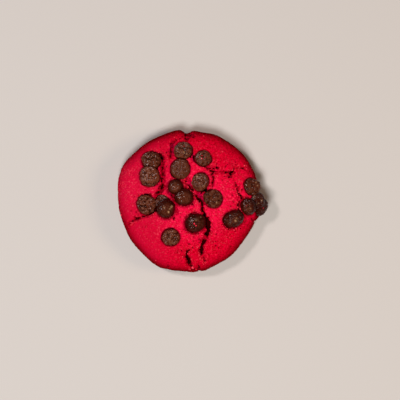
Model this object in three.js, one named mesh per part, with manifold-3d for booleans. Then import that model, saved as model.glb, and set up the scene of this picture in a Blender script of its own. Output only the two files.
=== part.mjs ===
// A thick, soft-baked red cookie with dark chocolate drops pressed into its cracked top.
// Millimetres, +Z up. The cookie lies on its flat base at z = 0, and +Y points away from the viewer.

import * as THREE from "three";
import { mergeVertices } from "three/addons/utils/BufferGeometryUtils.js";
import Module from "manifold-3d";

// Driving dimensions of the baked dough.
const ACROSS = 76; // mean width of the cookie
const CROWN = 19; // height of the middle of the top
const WAIST = 7; // height at which the side bulges furthest out
const BASE_ACROSS = 71; // width of the flat base
const TOP_LEVEL = 0.71; // share of the radius over which the top stays nearly level
const SHOULDER_UP = 18.5; // height that the curve of the side aims for above the waist
const FOOT_UP = 0.35; // share of the waist's height down to which the side stays upright
const FOOT_ROUND = 1.2; // how far outside the flat base the rounded foot begins

// Broad lumps of the top, as crossing waves: length and height in millimetres, angles in degrees.
const LUMPS = [
  { length: 47, towards: 10, height: 0.4, start: 35 },
  { length: 31, towards: 52, height: 0.25, start: 115 },
  { length: 39, towards: 118, height: 0.22, start: 20 },
];

// The rim leaves the circle in a few bulges and flats: angle and half width in degrees, and millimetres.
const RIM_SHAPES = [
  { at: 157, spread: 16, out: 2.2 },
  { at: 320, spread: 18, out: -1.45 },
  { at: 200, spread: 17, out: -1.1 },
  { at: 246, spread: 13, out: 1.4 },
  { at: 127, spread: 15, out: 1.1 },
  { at: 36, spread: 28, out: 0.6 },
  { at: 295, spread: 7, out: -0.5 },
  { at: 91.5, spread: 3.8, out: -3.1 },
  { at: 81, spread: 7, out: -0.7 },
  { at: 66, spread: 5, out: 0.4 },
  { at: 273, spread: 4.5, out: 0.5 },
  { at: 282.5, spread: 3.5, out: 0.5 },
  { at: 348.5, spread: 4, out: 1.4 },
];

// Places on the top are read from a picture taken straight from above, in its pixels.
const PICTURE_ACROSS = 142; // the cookie's mean width in that picture
const PICTURE_MIDDLE = [189, 200.5]; // the middle of the dough in that picture
const MM_PER_PIXEL = ACROSS / PICTURE_ACROSS;

// Cracks, as picture points with the crack's width there, in pixels: [x, y, width].
const CRACKS = {
  middle: [
    [184.5, 180, 0.9], [190.5, 188.5, 1.3], [196.5, 195.5, 1.6], [201.2, 203, 2.6], [202.2, 207.5, 3.4],
    [204.2, 214, 3], [208.4, 222.4, 5.6], [208.2, 230.5, 4.6], [204.6, 240, 4], [201.6, 250, 3.8],
    [203, 256, 1.6], [205, 262, 1.4],
  ],
  left: [
    [161.6, 155.5, 2.4], [162.4, 162, 2], [162.8, 169.5, 2], [163.4, 174, 1.6], [161.4, 180, 1.8],
    [163.2, 186.6, 2], [158.4, 193.4, 3], [156.4, 203, 3.4], [152.5, 212.5, 1.8], [144, 215.6, 2],
    [136.4, 218.6, 2.4], [131, 222, 1.6], [128.6, 224.6, 0.8],
  ],
  bottom: [
    [189.2, 250.2, 1.2], [186.4, 253.4, 2.6], [185.6, 256.2, 2.8], [187.4, 259.6, 4], [189.2, 262.6, 4.6],
    [189.8, 265.4, 2.8], [192, 268.4, 1.8], [193.5, 270.6, 1.4],
  ],
  right: [
    [206.5, 167.8, 1.2], [211.8, 171.6, 2.6], [217, 171.2, 1.1], [224, 172, 0.9], [228.6, 173.4, 1.6],
    [231.2, 174, 3.6], [233.6, 169.6, 2], [238.6, 166.6, 0.8], [243.6, 168.4, 2.2], [246, 166, 0.8],
  ],
  inner: [[212.2, 172.5, 1.6], [213.4, 178, 2.2], [212.4, 183, 1.8], [211.6, 187.5, 1]],
  outer: [[236, 182, 0.8], [237.4, 189.2, 1.8], [239, 193, 1.6], [241.4, 195.8, 2.4], [243, 199.5, 1.4]],
  fold: [
    [176, 139, 1], [171.8, 143, 1.4], [170.8, 149, 1.6], [170.8, 154, 1.4], [169.8, 158.6, 1],
  ],
};
const CRACK_STEP = 1.6; // distance between two sections of a crack
const CRACK_DEPTH = 1.2; // depth of a hair crack
const CRACK_DEEPER = 1.5; // further depth for each millimetre of the crack's width
const CRACK_DEEPEST = 5.5; // depth of the widest crack
const CRACK_SWING = 0.35; // how far a crack leaves its smooth path
const CRACK_RAGGED = 0.35; // how unevenly its edges break, as a share of its width
const CRACK_FLOOR = 0.3; // width of a crack's floor, as a share of its mouth

// Notches where the rim has split, as picture points with widths: inner end, outer end.
const SPLITS = [
  [[168.2, 262.5, 1], [168, 268, 2.2]],
  [[198.4, 262.8, 1], [199.2, 268.4, 3]],
  [[251.6, 216.5, 1], [254.8, 221.4, 2.2]],
];
const SPLIT_DEPTH = 1.9; // depth at the shoulder and at the waist
const SPLIT_END_DEPTH = 0.9; // depth at the inner end and at the foot
const SPLIT_SHOULDER = 0.86; // where a split passes the shoulder, as a share of the way to the waist
const SPLIT_FOOT_WIDTH = 0.6; // width at the foot, as a share of the width at the rim

// The torn corner at the far rim: its outline in picture points, and the height of its floor.
const TORN_CORNER = [
  [183.2, 126], [198.6, 126], [196, 132.6],
  [191.8, 137], [187.4, 141.6], [184.6, 139.5],
];
const TORN_FLOOR = 11.2;

// The two kinds of chocolate drop: melted to a disc with its flat side up, or still a round cap. height is a
// share of the radius, and the half section runs from the underside to the top in shares of both.
const DROP_FORMS = {
  flat: { height: 0.84, half: [[0, 0], [0.8, 0], [0.98, 0.3], [1, 0.72], [0.84, 0.97], [0, 1]] },
  dome: { height: 1.16, half: [[0, 0], [0.84, 0], [1, 0.3], [1, 0.56], [0.72, 0.86], [0, 1]] },
};

// Every drop: middle and radius in picture pixels; in millimetres proud, how far its top stands out of the
// dough, or up, the height of its middle where it hangs over the rim; its lean and the direction that it
// leans towards, in degrees from +X. A long drop is stretched by a share of its radius along a direction.
const DROPS = [
  { form: "flat", x: 183.3, y: 150.9, r: 8.9, proud: 1.5, lean: 5, towards: 200 },
  { form: "flat", x: 203.4, y: 158.7, r: 7.9, proud: 1.2, lean: 6, towards: 60 },
  { form: "flat", x: 151.5, y: 160.6, r: 9.4, proud: 1.1, lean: 16, towards: 100 },
  { form: "flat", x: 149.9, y: 176.4, r: 10.2, proud: 1.7, lean: 4, towards: 180 },
  { form: "flat", x: 180.5, y: 169.1, r: 9.9, proud: 1.5, lean: 3, towards: 250 },
  { form: "flat", x: 200.3, y: 182, r: 9, proud: 1.5, lean: 18, towards: 170 },
  { form: "dome", x: 175.6, y: 187, r: 7.5, proud: 3, lean: 8, towards: 130 },
  { form: "dome", x: 184.1, y: 197.2, r: 9.1, proud: 3.2, lean: 8, towards: 300 },
  { form: "flat", x: 212.8, y: 198.6, r: 9.2, proud: 1.7, lean: 14, towards: 30 },
  { form: "flat", x: 146.4, y: 204.4, r: 9.4, proud: 1.5, lean: 6, towards: 150 },
  { form: "flat", x: 162.8, y: 202.2, r: 7.7, proud: 0.9, lean: 8, towards: 90 },
  { form: "dome", x: 166.2, y: 209, r: 9.2, proud: 3.9, lean: 14, towards: 330 },
  { form: "dome", x: 195.6, y: 222.9, r: 9.7, proud: 2.9, lean: 5, towards: 280, stretch: 0.04, along: 10 },
  { form: "flat", x: 171.1, y: 237, r: 8.7, proud: 1.4, lean: 4, towards: 270 },
  { form: "dome", x: 233, y: 219, r: 9.5, proud: 3.2, lean: 8, towards: 245, stretch: 0.15, along: 30 },
  { form: "flat", x: 252, y: 186.4, r: 8.5, proud: 2.3, lean: 15, towards: 10 },
  { form: "dome", x: 247.8, y: 206.8, r: 8, proud: 3.2, lean: 16, towards: 230 },
  { form: "dome", x: 258, y: 199.8, r: 7.8, up: 13.7, lean: 24, towards: 60, stretch: 0.08, along: 130 },
  { form: "dome", x: 260.9, y: 207.4, r: 8.3, up: 11.9, lean: 36, towards: 335, stretch: 0.08, along: 70 },
];

// The drop that keeps its form, and the one cut to clear it, where two have run together.
const ON_TOP = [
  [4, 3], [5, 1], [8, 7], [12, 11], [12, 10],
  [15, 17], [16, 18], [17, 18], [17, 19], [18, 19],
];
const DROP_WOBBLE = 0.035; // how far a drop's rim leaves its round form, as a share of its radius

// Fineness of the solids.
const TOP_RINGS = 20; // rings of points from the crown to the waist
const SIDE_RINGS = 3; // rings of points from the waist to the base
const DROP_SIDES = 16; // points round a chocolate drop
const SECTION_STEPS = 240; // steps along the section when the skin under a place is looked up
const GAP = 0.3; // clearance between two pieces that lie against each other
const CLEAR = 2.5; // how far a cutter reaches out of the dough
const WELD = 1e-4; // points closer than this are one

const RIM = ACROSS / 2;
const { degToRad, radToDeg, euclideanModulo } = THREE.MathUtils;

// The half section of the dough, crown to waist to base, at the mean radius.
const section = new THREE.CurvePath();
section.add(
  new THREE.CubicBezierCurve(
    new THREE.Vector2(0, CROWN),
    new THREE.Vector2(TOP_LEVEL * RIM, CROWN),
    new THREE.Vector2(RIM, SHOULDER_UP),
    new THREE.Vector2(RIM, WAIST),
  ),
);
section.add(
  new THREE.CubicBezierCurve(
    new THREE.Vector2(RIM, WAIST),
    new THREE.Vector2(RIM, FOOT_UP * WAIST),
    new THREE.Vector2(BASE_ACROSS / 2 + FOOT_ROUND, 0),
    new THREE.Vector2(BASE_ACROSS / 2, 0),
  ),
);
const WAIST_SHARE = section.getCurveLengths()[0] / section.getLength();

// Radius of the rim in a direction, in radians: a circle with its bulges and flats.
function rimRadius(angle) {
  return RIM_SHAPES.reduce((radius, { at, spread, out }) => {
    const off = euclideanModulo(radToDeg(angle) - at + 180, 360) - 180;
    return radius + out * Math.exp(-((off / spread) ** 2));
  }, RIM);
}

// Rise of the lumps at a place in plan: the sum of the crossing waves.
function lumpAt(x, y) {
  return LUMPS.reduce((rise, { length, towards, height, start }) => {
    const along = x * Math.cos(degToRad(towards)) + y * Math.sin(degToRad(towards));
    return rise + height * Math.sin((2 * Math.PI * along) / length + degToRad(start));
  }, 0);
}

// The dough's outside at a share of the section, crown to base, in a direction: point and outward normal.
function doughSkin(share, angle) {
  const { x: radius, y: height } = section.getPointAt(share);
  const run = section.getTangentAt(share);
  const out = (radius * rimRadius(angle)) / RIM;
  const normal = new THREE.Vector3(-run.y * Math.cos(angle), -run.y * Math.sin(angle), run.x);
  const point = new THREE.Vector3(out * Math.cos(angle), out * Math.sin(angle), height);
  const rise = lumpAt(point.x, point.y) * Math.min(1, height / WAIST);
  return { point: point.addScaledVector(normal, rise), normal };
}

// The shares of the section from crown to waist, with the radius that each one reaches.
const shareTable = Array.from({ length: SECTION_STEPS + 1 }, (_, i) => {
  const share = (WAIST_SHARE * i) / SECTION_STEPS;
  return { share, radius: section.getPointAt(share).x };
});

// The skin over a place in plan; outside the rim it is the waist.
function skinOver(x, y) {
  const angle = Math.atan2(y, x);
  const radius = (Math.hypot(x, y) * RIM) / rimRadius(angle);
  const entry = shareTable.find((e) => e.radius >= radius) ?? shareTable.at(-1);
  return doughSkin(entry.share, angle);
}

// A place in the picture, in millimetres from the middle of the dough.
function fromPicture([px, py]) {
  return [(px - PICTURE_MIDDLE[0]) * MM_PER_PIXEL, (PICTURE_MIDDLE[1] - py) * MM_PER_PIXEL];
}

// A geometry from its points and the three corners of each face.
function faceted(points, faces) {
  return new THREE.BufferGeometry().setFromPoints(points).setIndex(faces);
}

// The closed skin of the dough: rings with six more points each from the crown to the waist, then rings of
// equal number to the base, and a flat fan over the base.
function doughGeometry() {
  const points = [doughSkin(0, 0).point];
  const faces = [];
  const ringStart = (i) => (i === 0 ? 0 : 1 + 3 * i * (i - 1));
  for (let i = 1; i <= TOP_RINGS; i++) {
    for (let j = 0; j < 6 * i; j++) {
      points.push(doughSkin((WAIST_SHARE * i) / TOP_RINGS, (Math.PI * j) / (3 * i)).point);
    }
    const inner = (j) => ringStart(i - 1) + (i === 1 ? 0 : j % (6 * (i - 1)));
    const outer = (j) => ringStart(i) + (j % (6 * i));
    for (let sector = 0; sector < 6; sector++) {
      for (let j = 0; j < i; j++) {
        const a = sector * i + j;
        const b = sector * (i - 1) + j;
        faces.push(inner(b), outer(a), outer(a + 1));
        if (j < i - 1) faces.push(inner(b), outer(a + 1), inner(b + 1));
      }
    }
  }
  const around = 6 * TOP_RINGS;
  let above = ringStart(TOP_RINGS);
  for (let i = 1; i <= SIDE_RINGS; i++) {
    const below = points.length;
    const share = WAIST_SHARE + ((1 - WAIST_SHARE) * i) / SIDE_RINGS;
    for (let j = 0; j < around; j++) points.push(doughSkin(share, (2 * Math.PI * j) / around).point);
    for (let j = 0; j < around; j++) {
      const next = (j + 1) % around;
      faces.push(above + j, below + j, below + next, above + j, below + next, above + next);
    }
    above = below;
  }
  const base = points.length;
  points.push(new THREE.Vector3(0, 0, 0));
  for (let j = 0; j < around; j++) faces.push(base, above + ((j + 1) % around), above + j);
  return faceted(points, faces);
}

// An irregular number from -1 to 1 that is always the same for a whole number.
function uneven(n) {
  return 2 * euclideanModulo(43758.5453 * Math.sin(12.9898 * n), 1) - 1;
}

// A cutter for a crack: a six-sided section carried along a path on the skin, upright above the skin and
// closing to a narrow floor below it. Each section has its point, normal and depth, and its half widths to
// the left and to the right.
function crackCutter(sections) {
  const points = [];
  const faces = [];
  sections.forEach(({ point, normal, left, right, depth }, i) => {
    const before = sections[Math.max(0, i - 1)].point;
    const after = sections[Math.min(sections.length - 1, i + 1)].point;
    const side = after.clone().sub(before).cross(normal).normalize();
    const at = (across, up) => point.clone().addScaledVector(side, across).addScaledVector(normal, up);
    points.push(at(-left, CLEAR), at(-left, 0), at(-left * CRACK_FLOOR, -depth));
    points.push(at(right * CRACK_FLOOR, -depth), at(right, 0), at(right, CLEAR));
    if (i === 0) return;
    const a = 6 * (i - 1);
    for (let k = 0; k < 6; k++) {
      const n = (k + 1) % 6;
      faces.push(a + k, a + 6 + k, a + 6 + n, a + k, a + 6 + n, a + n);
    }
  });
  const last = 6 * (sections.length - 1);
  for (let k = 1; k < 5; k++) {
    faces.push(0, k, k + 1);
    faces.push(last, last + k + 1, last + k);
  }
  return faceted(points, faces);
}

// The sections of a crack along its picture points: evenly spaced, deepest where widest, swinging about the
// smooth path, with edges that break unevenly. Cracks of different seeds break differently.
function crackSections(stations, seed) {
  const path = new THREE.CatmullRomCurve3(
    stations.map(([px, py, width]) => new THREE.Vector3(...fromPicture([px, py]), width * MM_PER_PIXEL)),
    false,
    "centripetal",
  );
  const steps = Math.max(3, Math.round(path.getLength() / CRACK_STEP));
  return path.getSpacedPoints(steps).map(({ x, y, z: width }, i) => {
    const draw = 100 * seed + 4 * i;
    const swing = i === 0 || i === steps ? 0 : CRACK_SWING;
    const { point, normal } = skinOver(x + swing * uneven(draw), y + swing * uneven(draw + 1));
    const left = (width / 2) * (1 + CRACK_RAGGED * uneven(draw + 2));
    const right = (width / 2) * (1 + CRACK_RAGGED * uneven(draw + 3));
    const depth = Math.min(CRACK_DEEPEST, CRACK_DEPTH + CRACK_DEEPER * width);
    return { point, normal, left, right, depth };
  });
}

// The sections of a split in the rim: over the shoulder from its inner point, then straight down the side.
function splitSections([inner, outer]) {
  const [x, y] = fromPicture(outer);
  const angle = Math.atan2(y, x);
  const cut = (skin, width, depth) => {
    const half = (width * MM_PER_PIXEL) / 2;
    return { ...skin, left: half, right: half, depth };
  };
  return [
    cut(skinOver(...fromPicture(inner)), inner[2], SPLIT_END_DEPTH),
    cut(doughSkin(SPLIT_SHOULDER * WAIST_SHARE, angle), outer[2], SPLIT_DEPTH),
    cut(doughSkin(WAIST_SHARE, angle), outer[2], SPLIT_DEPTH),
    cut(doughSkin((1 + WAIST_SHARE) / 2, angle), SPLIT_FOOT_WIDTH * outer[2], SPLIT_END_DEPTH),
  ];
}

// The cutter for the torn corner: its outline, upright, from its floor to above the cookie.
function tornCutter() {
  const outline = new THREE.Shape(TORN_CORNER.map((p) => new THREE.Vector2(...fromPicture(p))));
  const cutter = new THREE.ExtrudeGeometry(outline, { depth: CROWN, bevelEnabled: false });
  return cutter.translate(0, 0, TORN_FLOOR);
}

// Height of a drop from its underside to its top, in millimetres.
function dropHeight({ form, r }) {
  return r * MM_PER_PIXEL * DROP_FORMS[form].height;
}

// A chocolate drop about its own middle: a lathed half section whose rim then wobbles a little, so that no
// two drops are alike. grow makes the larger form that clears it all round.
function dropGeometry(drop, number, grow = 0) {
  const { form, r, stretch = 0, along = 0 } = drop;
  const radius = r * MM_PER_PIXEL + grow;
  const height = dropHeight(drop) + 2 * grow;
  const { half } = DROP_FORMS[form];
  const outline = half.map(([out, up]) => new THREE.Vector2(out * radius, (up - 0.5) * height));
  const geometry = new THREE.LatheGeometry(outline, DROP_SIDES).rotateX(Math.PI / 2);
  const position = geometry.getAttribute("position");
  for (let i = 0; i < position.count; i++) {
    const angle = Math.atan2(position.getY(i), position.getX(i));
    const wobble = Math.sin(2 * angle + number) + Math.sin(3 * angle + 2 * number) / 2;
    const scale = 1 + DROP_WOBBLE * wobble + stretch * Math.cos(2 * (angle - degToRad(along)));
    position.setXYZ(i, position.getX(i) * scale, position.getY(i) * scale, position.getZ(i));
  }
  return geometry;
}

// Where a drop stands: at its height over the dough or the ground, leaning its own way.
function dropPlace(drop) {
  const { x, y, proud, up, lean, towards } = drop;
  const [dropX, dropY] = fromPicture([x, y]);
  const middleUp = up ?? skinOver(dropX, dropY).point.z + proud - dropHeight(drop) / 2;
  const axis = new THREE.Vector3(-Math.sin(degToRad(towards)), Math.cos(degToRad(towards)), 0);
  return new THREE.Matrix4().makeRotationAxis(axis, degToRad(lean)).setPosition(dropX, dropY, middleUp);
}

const wasm = await Module();
wasm.setup();

// A closed geometry as a solid that can be cut.
function solid(geometry) {
  const bare = geometry.clone();
  bare.deleteAttribute("normal");
  bare.deleteAttribute("uv");
  const merged = mergeVertices(bare, WELD);
  return new wasm.Manifold(
    new wasm.Mesh({
      numProp: 3,
      vertProperties: merged.getAttribute("position").array,
      triVerts: new Uint32Array(merged.index.array),
    }),
  );
}

// The largest body of a cut solid, as a geometry; scraps that came loose are dropped.
function geometryOf(cut) {
  const [largest] = cut.decompose().sort((a, b) => b.volume() - a.volume());
  const { numProp, numVert, vertProperties, triVerts } = largest.getMesh();
  const points = Array.from({ length: numVert }, (_, i) =>
    new THREE.Vector3().fromArray(vertProperties, i * numProp),
  );
  const geometry = faceted(points, Array.from(triVerts));
  geometry.computeVertexNormals();
  return geometry;
}

const crust = new THREE.MeshStandardMaterial({ color: 0xd4103a, roughness: 0.85, metalness: 0 });
const chocolate = new THREE.MeshStandardMaterial({ color: 0x4a2a20, roughness: 0.5, metalness: 0 });

const drops = DROPS.map((drop, i) => {
  const place = dropPlace(drop);
  return {
    name: `drop_${String(i + 1).padStart(2, "0")}`,
    body: solid(dropGeometry(drop, i + 1).applyMatrix4(place)),
    clearance: solid(dropGeometry(drop, i + 1, GAP).applyMatrix4(place)),
  };
});
for (const [upper, lower] of ON_TOP) {
  drops[lower - 1].body = drops[lower - 1].body.subtract(drops[upper - 1].clearance);
}

const cutters = [
  ...Object.values(CRACKS).map((stations, seed) => solid(crackCutter(crackSections(stations, seed)))),
  ...SPLITS.map((split) => solid(crackCutter(splitSections(split)))),
  solid(tornCutter()),
  ...drops.map(({ clearance }) => clearance),
];
const dough = cutters.reduce((body, cutter) => body.subtract(cutter), solid(doughGeometry()));

const cookie = new THREE.Group();
cookie.name = "cookie";

// Adds one solid to the cookie as a named piece.
function addPiece(name, body, material) {
  const piece = new THREE.Mesh(geometryOf(body), material);
  piece.name = name;
  cookie.add(piece);
}

addPiece("dough", dough, crust);
for (const { name, body } of drops) addPiece(name, body, chocolate);

// The origin is under the middle of everything, on the surface that the cookie lies on.
const middle = new THREE.Box3().setFromObject(cookie).getCenter(new THREE.Vector3());
cookie.position.set(-middle.x, -middle.y, 0);

export default cookie;
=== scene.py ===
# %% [markdown]
# # A red cookie with dark chocolate drops
#
# One thick, soft-baked cookie, 76 mm across, with a cracked top and nineteen chocolate drops pressed into it.
# The solid model is loaded first, as a fixed frame in metres. It says where every piece is, and the finer
# surfaces made here stand in the places of its plain ones. Its box is kept, and the finished pieces are set
# back within it.

# %% Load the frame
import math
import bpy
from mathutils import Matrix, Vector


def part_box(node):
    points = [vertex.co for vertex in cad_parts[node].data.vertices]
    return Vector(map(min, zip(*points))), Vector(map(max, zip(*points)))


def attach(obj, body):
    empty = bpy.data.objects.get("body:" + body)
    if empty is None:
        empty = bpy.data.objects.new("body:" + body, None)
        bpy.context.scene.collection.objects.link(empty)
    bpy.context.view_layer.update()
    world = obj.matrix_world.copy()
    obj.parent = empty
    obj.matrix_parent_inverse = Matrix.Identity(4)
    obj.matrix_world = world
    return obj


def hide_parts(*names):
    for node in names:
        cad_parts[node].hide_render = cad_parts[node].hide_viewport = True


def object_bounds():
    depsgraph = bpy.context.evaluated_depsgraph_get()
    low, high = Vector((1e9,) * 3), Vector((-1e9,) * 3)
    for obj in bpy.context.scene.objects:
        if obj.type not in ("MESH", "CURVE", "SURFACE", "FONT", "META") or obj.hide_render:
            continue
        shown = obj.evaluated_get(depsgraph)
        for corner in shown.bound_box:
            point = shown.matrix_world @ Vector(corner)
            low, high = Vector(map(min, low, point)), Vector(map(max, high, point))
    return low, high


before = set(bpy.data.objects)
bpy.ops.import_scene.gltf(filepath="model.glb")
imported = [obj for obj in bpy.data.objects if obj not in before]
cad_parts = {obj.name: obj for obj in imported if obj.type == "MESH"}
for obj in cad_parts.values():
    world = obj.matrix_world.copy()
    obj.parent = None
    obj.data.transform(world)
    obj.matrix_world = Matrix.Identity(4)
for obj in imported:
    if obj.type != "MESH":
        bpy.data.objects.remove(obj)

from types import SimpleNamespace

import bmesh
import bpy
import numpy as np
from mathutils import Vector

solid_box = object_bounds()
print("solid model:", len(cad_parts), "nodes, box in mm:")
print([[round(coordinate * 1000, 2) for coordinate in corner] for corner in solid_box])

# %% [markdown]
# ## Unevenness that is the same each time
#
# Baked dough is uneven at every size, from broad humps down to grains of sugar. Blender could give that with
# Displace modifiers and its own textures. Working it out with numpy instead lets one pattern shape the mesh,
# steer the cracks and colour the crumb. All of it comes from numbers that are mixed from whole numbers, so
# every run bakes the same cookie.

# %% Draws, humps and pebbles
PRIMES = np.array([73856093, 19349663, 83492791])
SEED_STEP = 104729  # one more prime, so that each seed has its own draws
FOLDS = [(15, 739982445), (12, 695872825)]  # places that the number moves by, and what multiplies it
LAST_FOLD = 15
KEEP_31_BITS = 0x7FFFFFFF
HUMP_GAIN = 1.5  # brings the blended tilts to about -1 to 1
TRIED, TRIED_ACROSS = 20000, 100  # points at which the noises are tried, and the cells that they lie in


def draws(cells, seed):
    """An even draw from 0 to 1 for each cell of whole numbers: they are multiplied by large primes, added,
    and folded over themselves three times."""
    mixed = ((cells.astype(np.int64) * PRIMES).sum(-1) + SEED_STEP * seed) & KEEP_31_BITS
    for places, multiplier in FOLDS:
        mixed = ((mixed ^ (mixed >> places)) * multiplier) & KEEP_31_BITS
    return (mixed ^ (mixed >> LAST_FOLD)) / KEEP_31_BITS


def three_draws(cells, seed):
    """Three draws for each cell, as a point in a cube."""
    return np.stack([draws(cells, 3 * seed + axis) for axis in range(3)], -1)


def humps(points, size, seed):
    """Gradient noise. Every corner of a lattice of cells, size mm wide, tilts its own way, and a point blends
    the rise of the eight tilts round it, each weighted by t^3 (6 t^2 - 15 t + 10) along the three axes."""
    place = points / size
    cell = np.floor(place)
    into = place - cell
    blend = into**3 * (into * (6 * into - 15) + 10)
    rise = np.zeros(points.shape[:-1])
    for corner in np.ndindex(2, 2, 2):
        tilt = 2 * three_draws(cell + corner, seed) - 1
        weight = np.where(corner, blend, 1 - blend).prod(-1)
        rise += weight * ((into - corner) * tilt).sum(-1)
    return HUMP_GAIN * rise


def pebbles(points, size, seed):
    """Cellular noise. Each cell holds one random point, and the value is the distance to the nearest one, as
    a share of the cell's width."""
    place = points / size
    cell = np.floor(place)
    nearest = np.full(points.shape[:-1], np.inf)
    for step in np.ndindex(3, 3, 3):
        at = cell + step - 1
        centre = at + three_draws(at, seed)
        nearest = np.minimum(nearest, np.linalg.norm(place - centre, axis=-1))
    return nearest


def ramp(value, low, high):
    """0 at low, 1 at high, and the S-curve 3 t^2 - 2 t^3 between them."""
    share = np.clip((value - low) / (high - low), 0, 1)
    return share * share * (3 - 2 * share)


def layered(points, layers):
    """Humps of several sizes at once: the sum over the layers of a height times the humps of a size."""
    return sum(height * humps(points, size, seed) for size, height, seed in layers)


sample = np.random.default_rng(1).uniform(0, TRIED_ACROSS, (TRIED, 3))
print("humps reach", humps(sample, 1, 1).min().round(2), "to", humps(sample, 1, 1).max().round(2))
print("pebbles lie up to", pebbles(sample, 1, 1).max().round(2), "cells apart")

# %% [markdown]
# ## The form of the dough
#
# A ball of dough slumps in the oven into a thick disc: nearly level on top, soft at the shoulder, widest a
# third of the way up and flat where it lay on the tray. The solid model has this form in plain facets, and
# the same few sizes give it again here: two cubic curves make the half section, and the rim leaves its circle
# in a few bulges and flats.

# %% Half section, rim and lumps, in millimetres
MM = 0.001  # Blender works in metres
ACROSS = 76  # mean width of the cookie
RIM = ACROSS / 2
CROWN = 19  # height of the middle of the top
WAIST = 7  # height at which the side bulges furthest out
BASE_ACROSS = 71  # width of the flat base
TOP_LEVEL = 0.71  # share of the radius over which the top stays nearly level
SHOULDER_UP = 18.5  # height that the curve of the side aims for above the waist
FOOT_UP = 0.35  # share of the waist's height down to which the side stays upright
FOOT_ROUND = 1.2  # how far outside the flat base the rounded foot begins
CURVE_STEPS = 400

# Broad lumps as crossing waves: length, direction in degrees, height, and start in degrees.
LUMPS = [(47, 10, 0.4, 35), (31, 52, 0.25, 115), (39, 118, 0.22, 20)]

# Bulges and flats of the rim: direction and half width in degrees, and how far out. The torn corner, the
# deepest of them, is a little shallower than in the solid, whose facets cut across it.
RIM_SHAPES = [
    (157, 16, 2.2), (320, 18, -1.45), (200, 17, -1.1), (246, 13, 1.4), (127, 15, 1.1), (36, 28, 0.6),
    (295, 7, -0.5), (91.8, 3.8, -2.3), (81, 7, -0.7), (66, 5, 0.4), (273, 4.5, 0.5), (282.5, 3.5, 0.5),
    (348.5, 4, 1.4),
]


def cubic(corners, share):
    """A cubic curve: its four points weighted (1-t)^3, 3 t (1-t)^2, 3 t^2 (1-t) and t^3."""
    t = share[:, None]
    a, b, c, d = np.array(corners, float)
    return a * (1 - t) ** 3 + 3 * b * t * (1 - t) ** 2 + 3 * c * t**2 * (1 - t) + d * t**3


def lengths_along(path):
    """Distance from the start of a path to each of its points."""
    return np.concatenate([[0], np.cumsum(np.linalg.norm(np.diff(path, axis=0), axis=1))])


def in_even_steps(path, along, count):
    """Count points of a path, evenly spread between its ends, from how far along each of its points lies."""
    even = np.linspace(0, along[-1], count)
    return np.stack([np.interp(even, along, column) for column in path.T], -1)


curve_share = np.linspace(0, 1, CURVE_STEPS)
upper = cubic([(0, CROWN), (TOP_LEVEL * RIM, CROWN), (RIM, SHOULDER_UP), (RIM, WAIST)], curve_share)
foot = [(RIM, WAIST), (RIM, FOOT_UP * WAIST), (BASE_ACROSS / 2 + FOOT_ROUND, 0), (BASE_ACROSS / 2, 0)]
section = np.vstack([upper, cubic(foot, curve_share)[1:]])
section_along = lengths_along(section)
section_run = np.gradient(section, section_along, axis=0)
section_run /= np.linalg.norm(section_run, axis=1)[:, None]
WAIST_ALONG = section_along[CURVE_STEPS - 1]
BASE_ALONG = section_along[-1]
print("from the crown to the waist", WAIST_ALONG.round(1), "mm, to the base", BASE_ALONG.round(1), "mm")

# %% The skin of the dough


def bell(angle, at, spread):
    """A bell round a direction, exp(-(off / spread)^2), where off is how many degrees an angle is off it."""
    off = np.mod(np.degrees(angle) - at + 180, 360) - 180
    return np.exp(-((off / spread) ** 2))


def rim_radius(angle):
    """The rim: the mean radius plus a bell for each bulge or flat."""
    radius = np.full(np.shape(angle), float(RIM))
    for at, spread, out in RIM_SHAPES:
        radius += out * bell(angle, at, spread)
    return radius


def skin(along, angle):
    """Point and outward normal at a length along the section and a direction: the section turned about the
    middle, stretched to the rim, and raised along its normal by the sum of the crossing waves."""
    radius, height = (np.interp(along, section_along, column) for column in section.T)
    run_out, run_up = (np.interp(along, section_along, column) for column in section_run.T)
    out = radius * rim_radius(angle) / RIM
    normal = np.stack([-run_up * np.cos(angle), -run_up * np.sin(angle), run_out], -1)
    point = np.stack([out * np.cos(angle), out * np.sin(angle), height], -1)
    rise = np.zeros(np.shape(angle))
    for length, towards, lump, start in LUMPS:
        turned = math.radians(towards)
        line = point[..., 0] * math.cos(turned) + point[..., 1] * math.sin(turned)
        rise += lump * np.sin(2 * math.pi * line / length + math.radians(start))
    rise *= np.minimum(1, height / WAIST)
    return point + normal * rise[..., None], normal


def skin_over(x, y):
    """The skin above a place in plan: the place's share of the rim says how far along the section it is."""
    angle = np.arctan2(y, x)
    radius = np.hypot(x, y) * RIM / rim_radius(angle)
    top = slice(0, CURVE_STEPS)
    return skin(np.interp(radius, section[top, 0], section_along[top]), angle)


print("height of the skin over the middle:", skin_over(0.0, 0.0)[0][2].round(2), "mm")

# %% [markdown]
# ## Where everything lies on the top
#
# The cracks and drops were placed from straight above, so their places are given as that picture's
# pixels, and one scale turns them into millimetres from the middle of the dough.

# %% From the picture to the dough
PICTURE_SIDE = 400  # width and height of the picture in its pixels
PICTURE_ACROSS = 142  # the cookie's mean width in it
PICTURE_MIDDLE = np.array([189, 200.5])  # the middle of the dough in it
MM_PER_PIXEL = ACROSS / PICTURE_ACROSS


def from_picture(places):
    """Picture places as millimetres from the middle of the dough, x to the right and y up."""
    return (np.asarray(places, float) - PICTURE_MIDDLE) * (MM_PER_PIXEL, -MM_PER_PIXEL)


def pixels_away(points, x, y):
    """Distance in plan from points in millimetres to a place in the picture, in its pixels."""
    return np.linalg.norm(points[:, :2] - from_picture([x, y]), axis=1) / MM_PER_PIXEL


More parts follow.
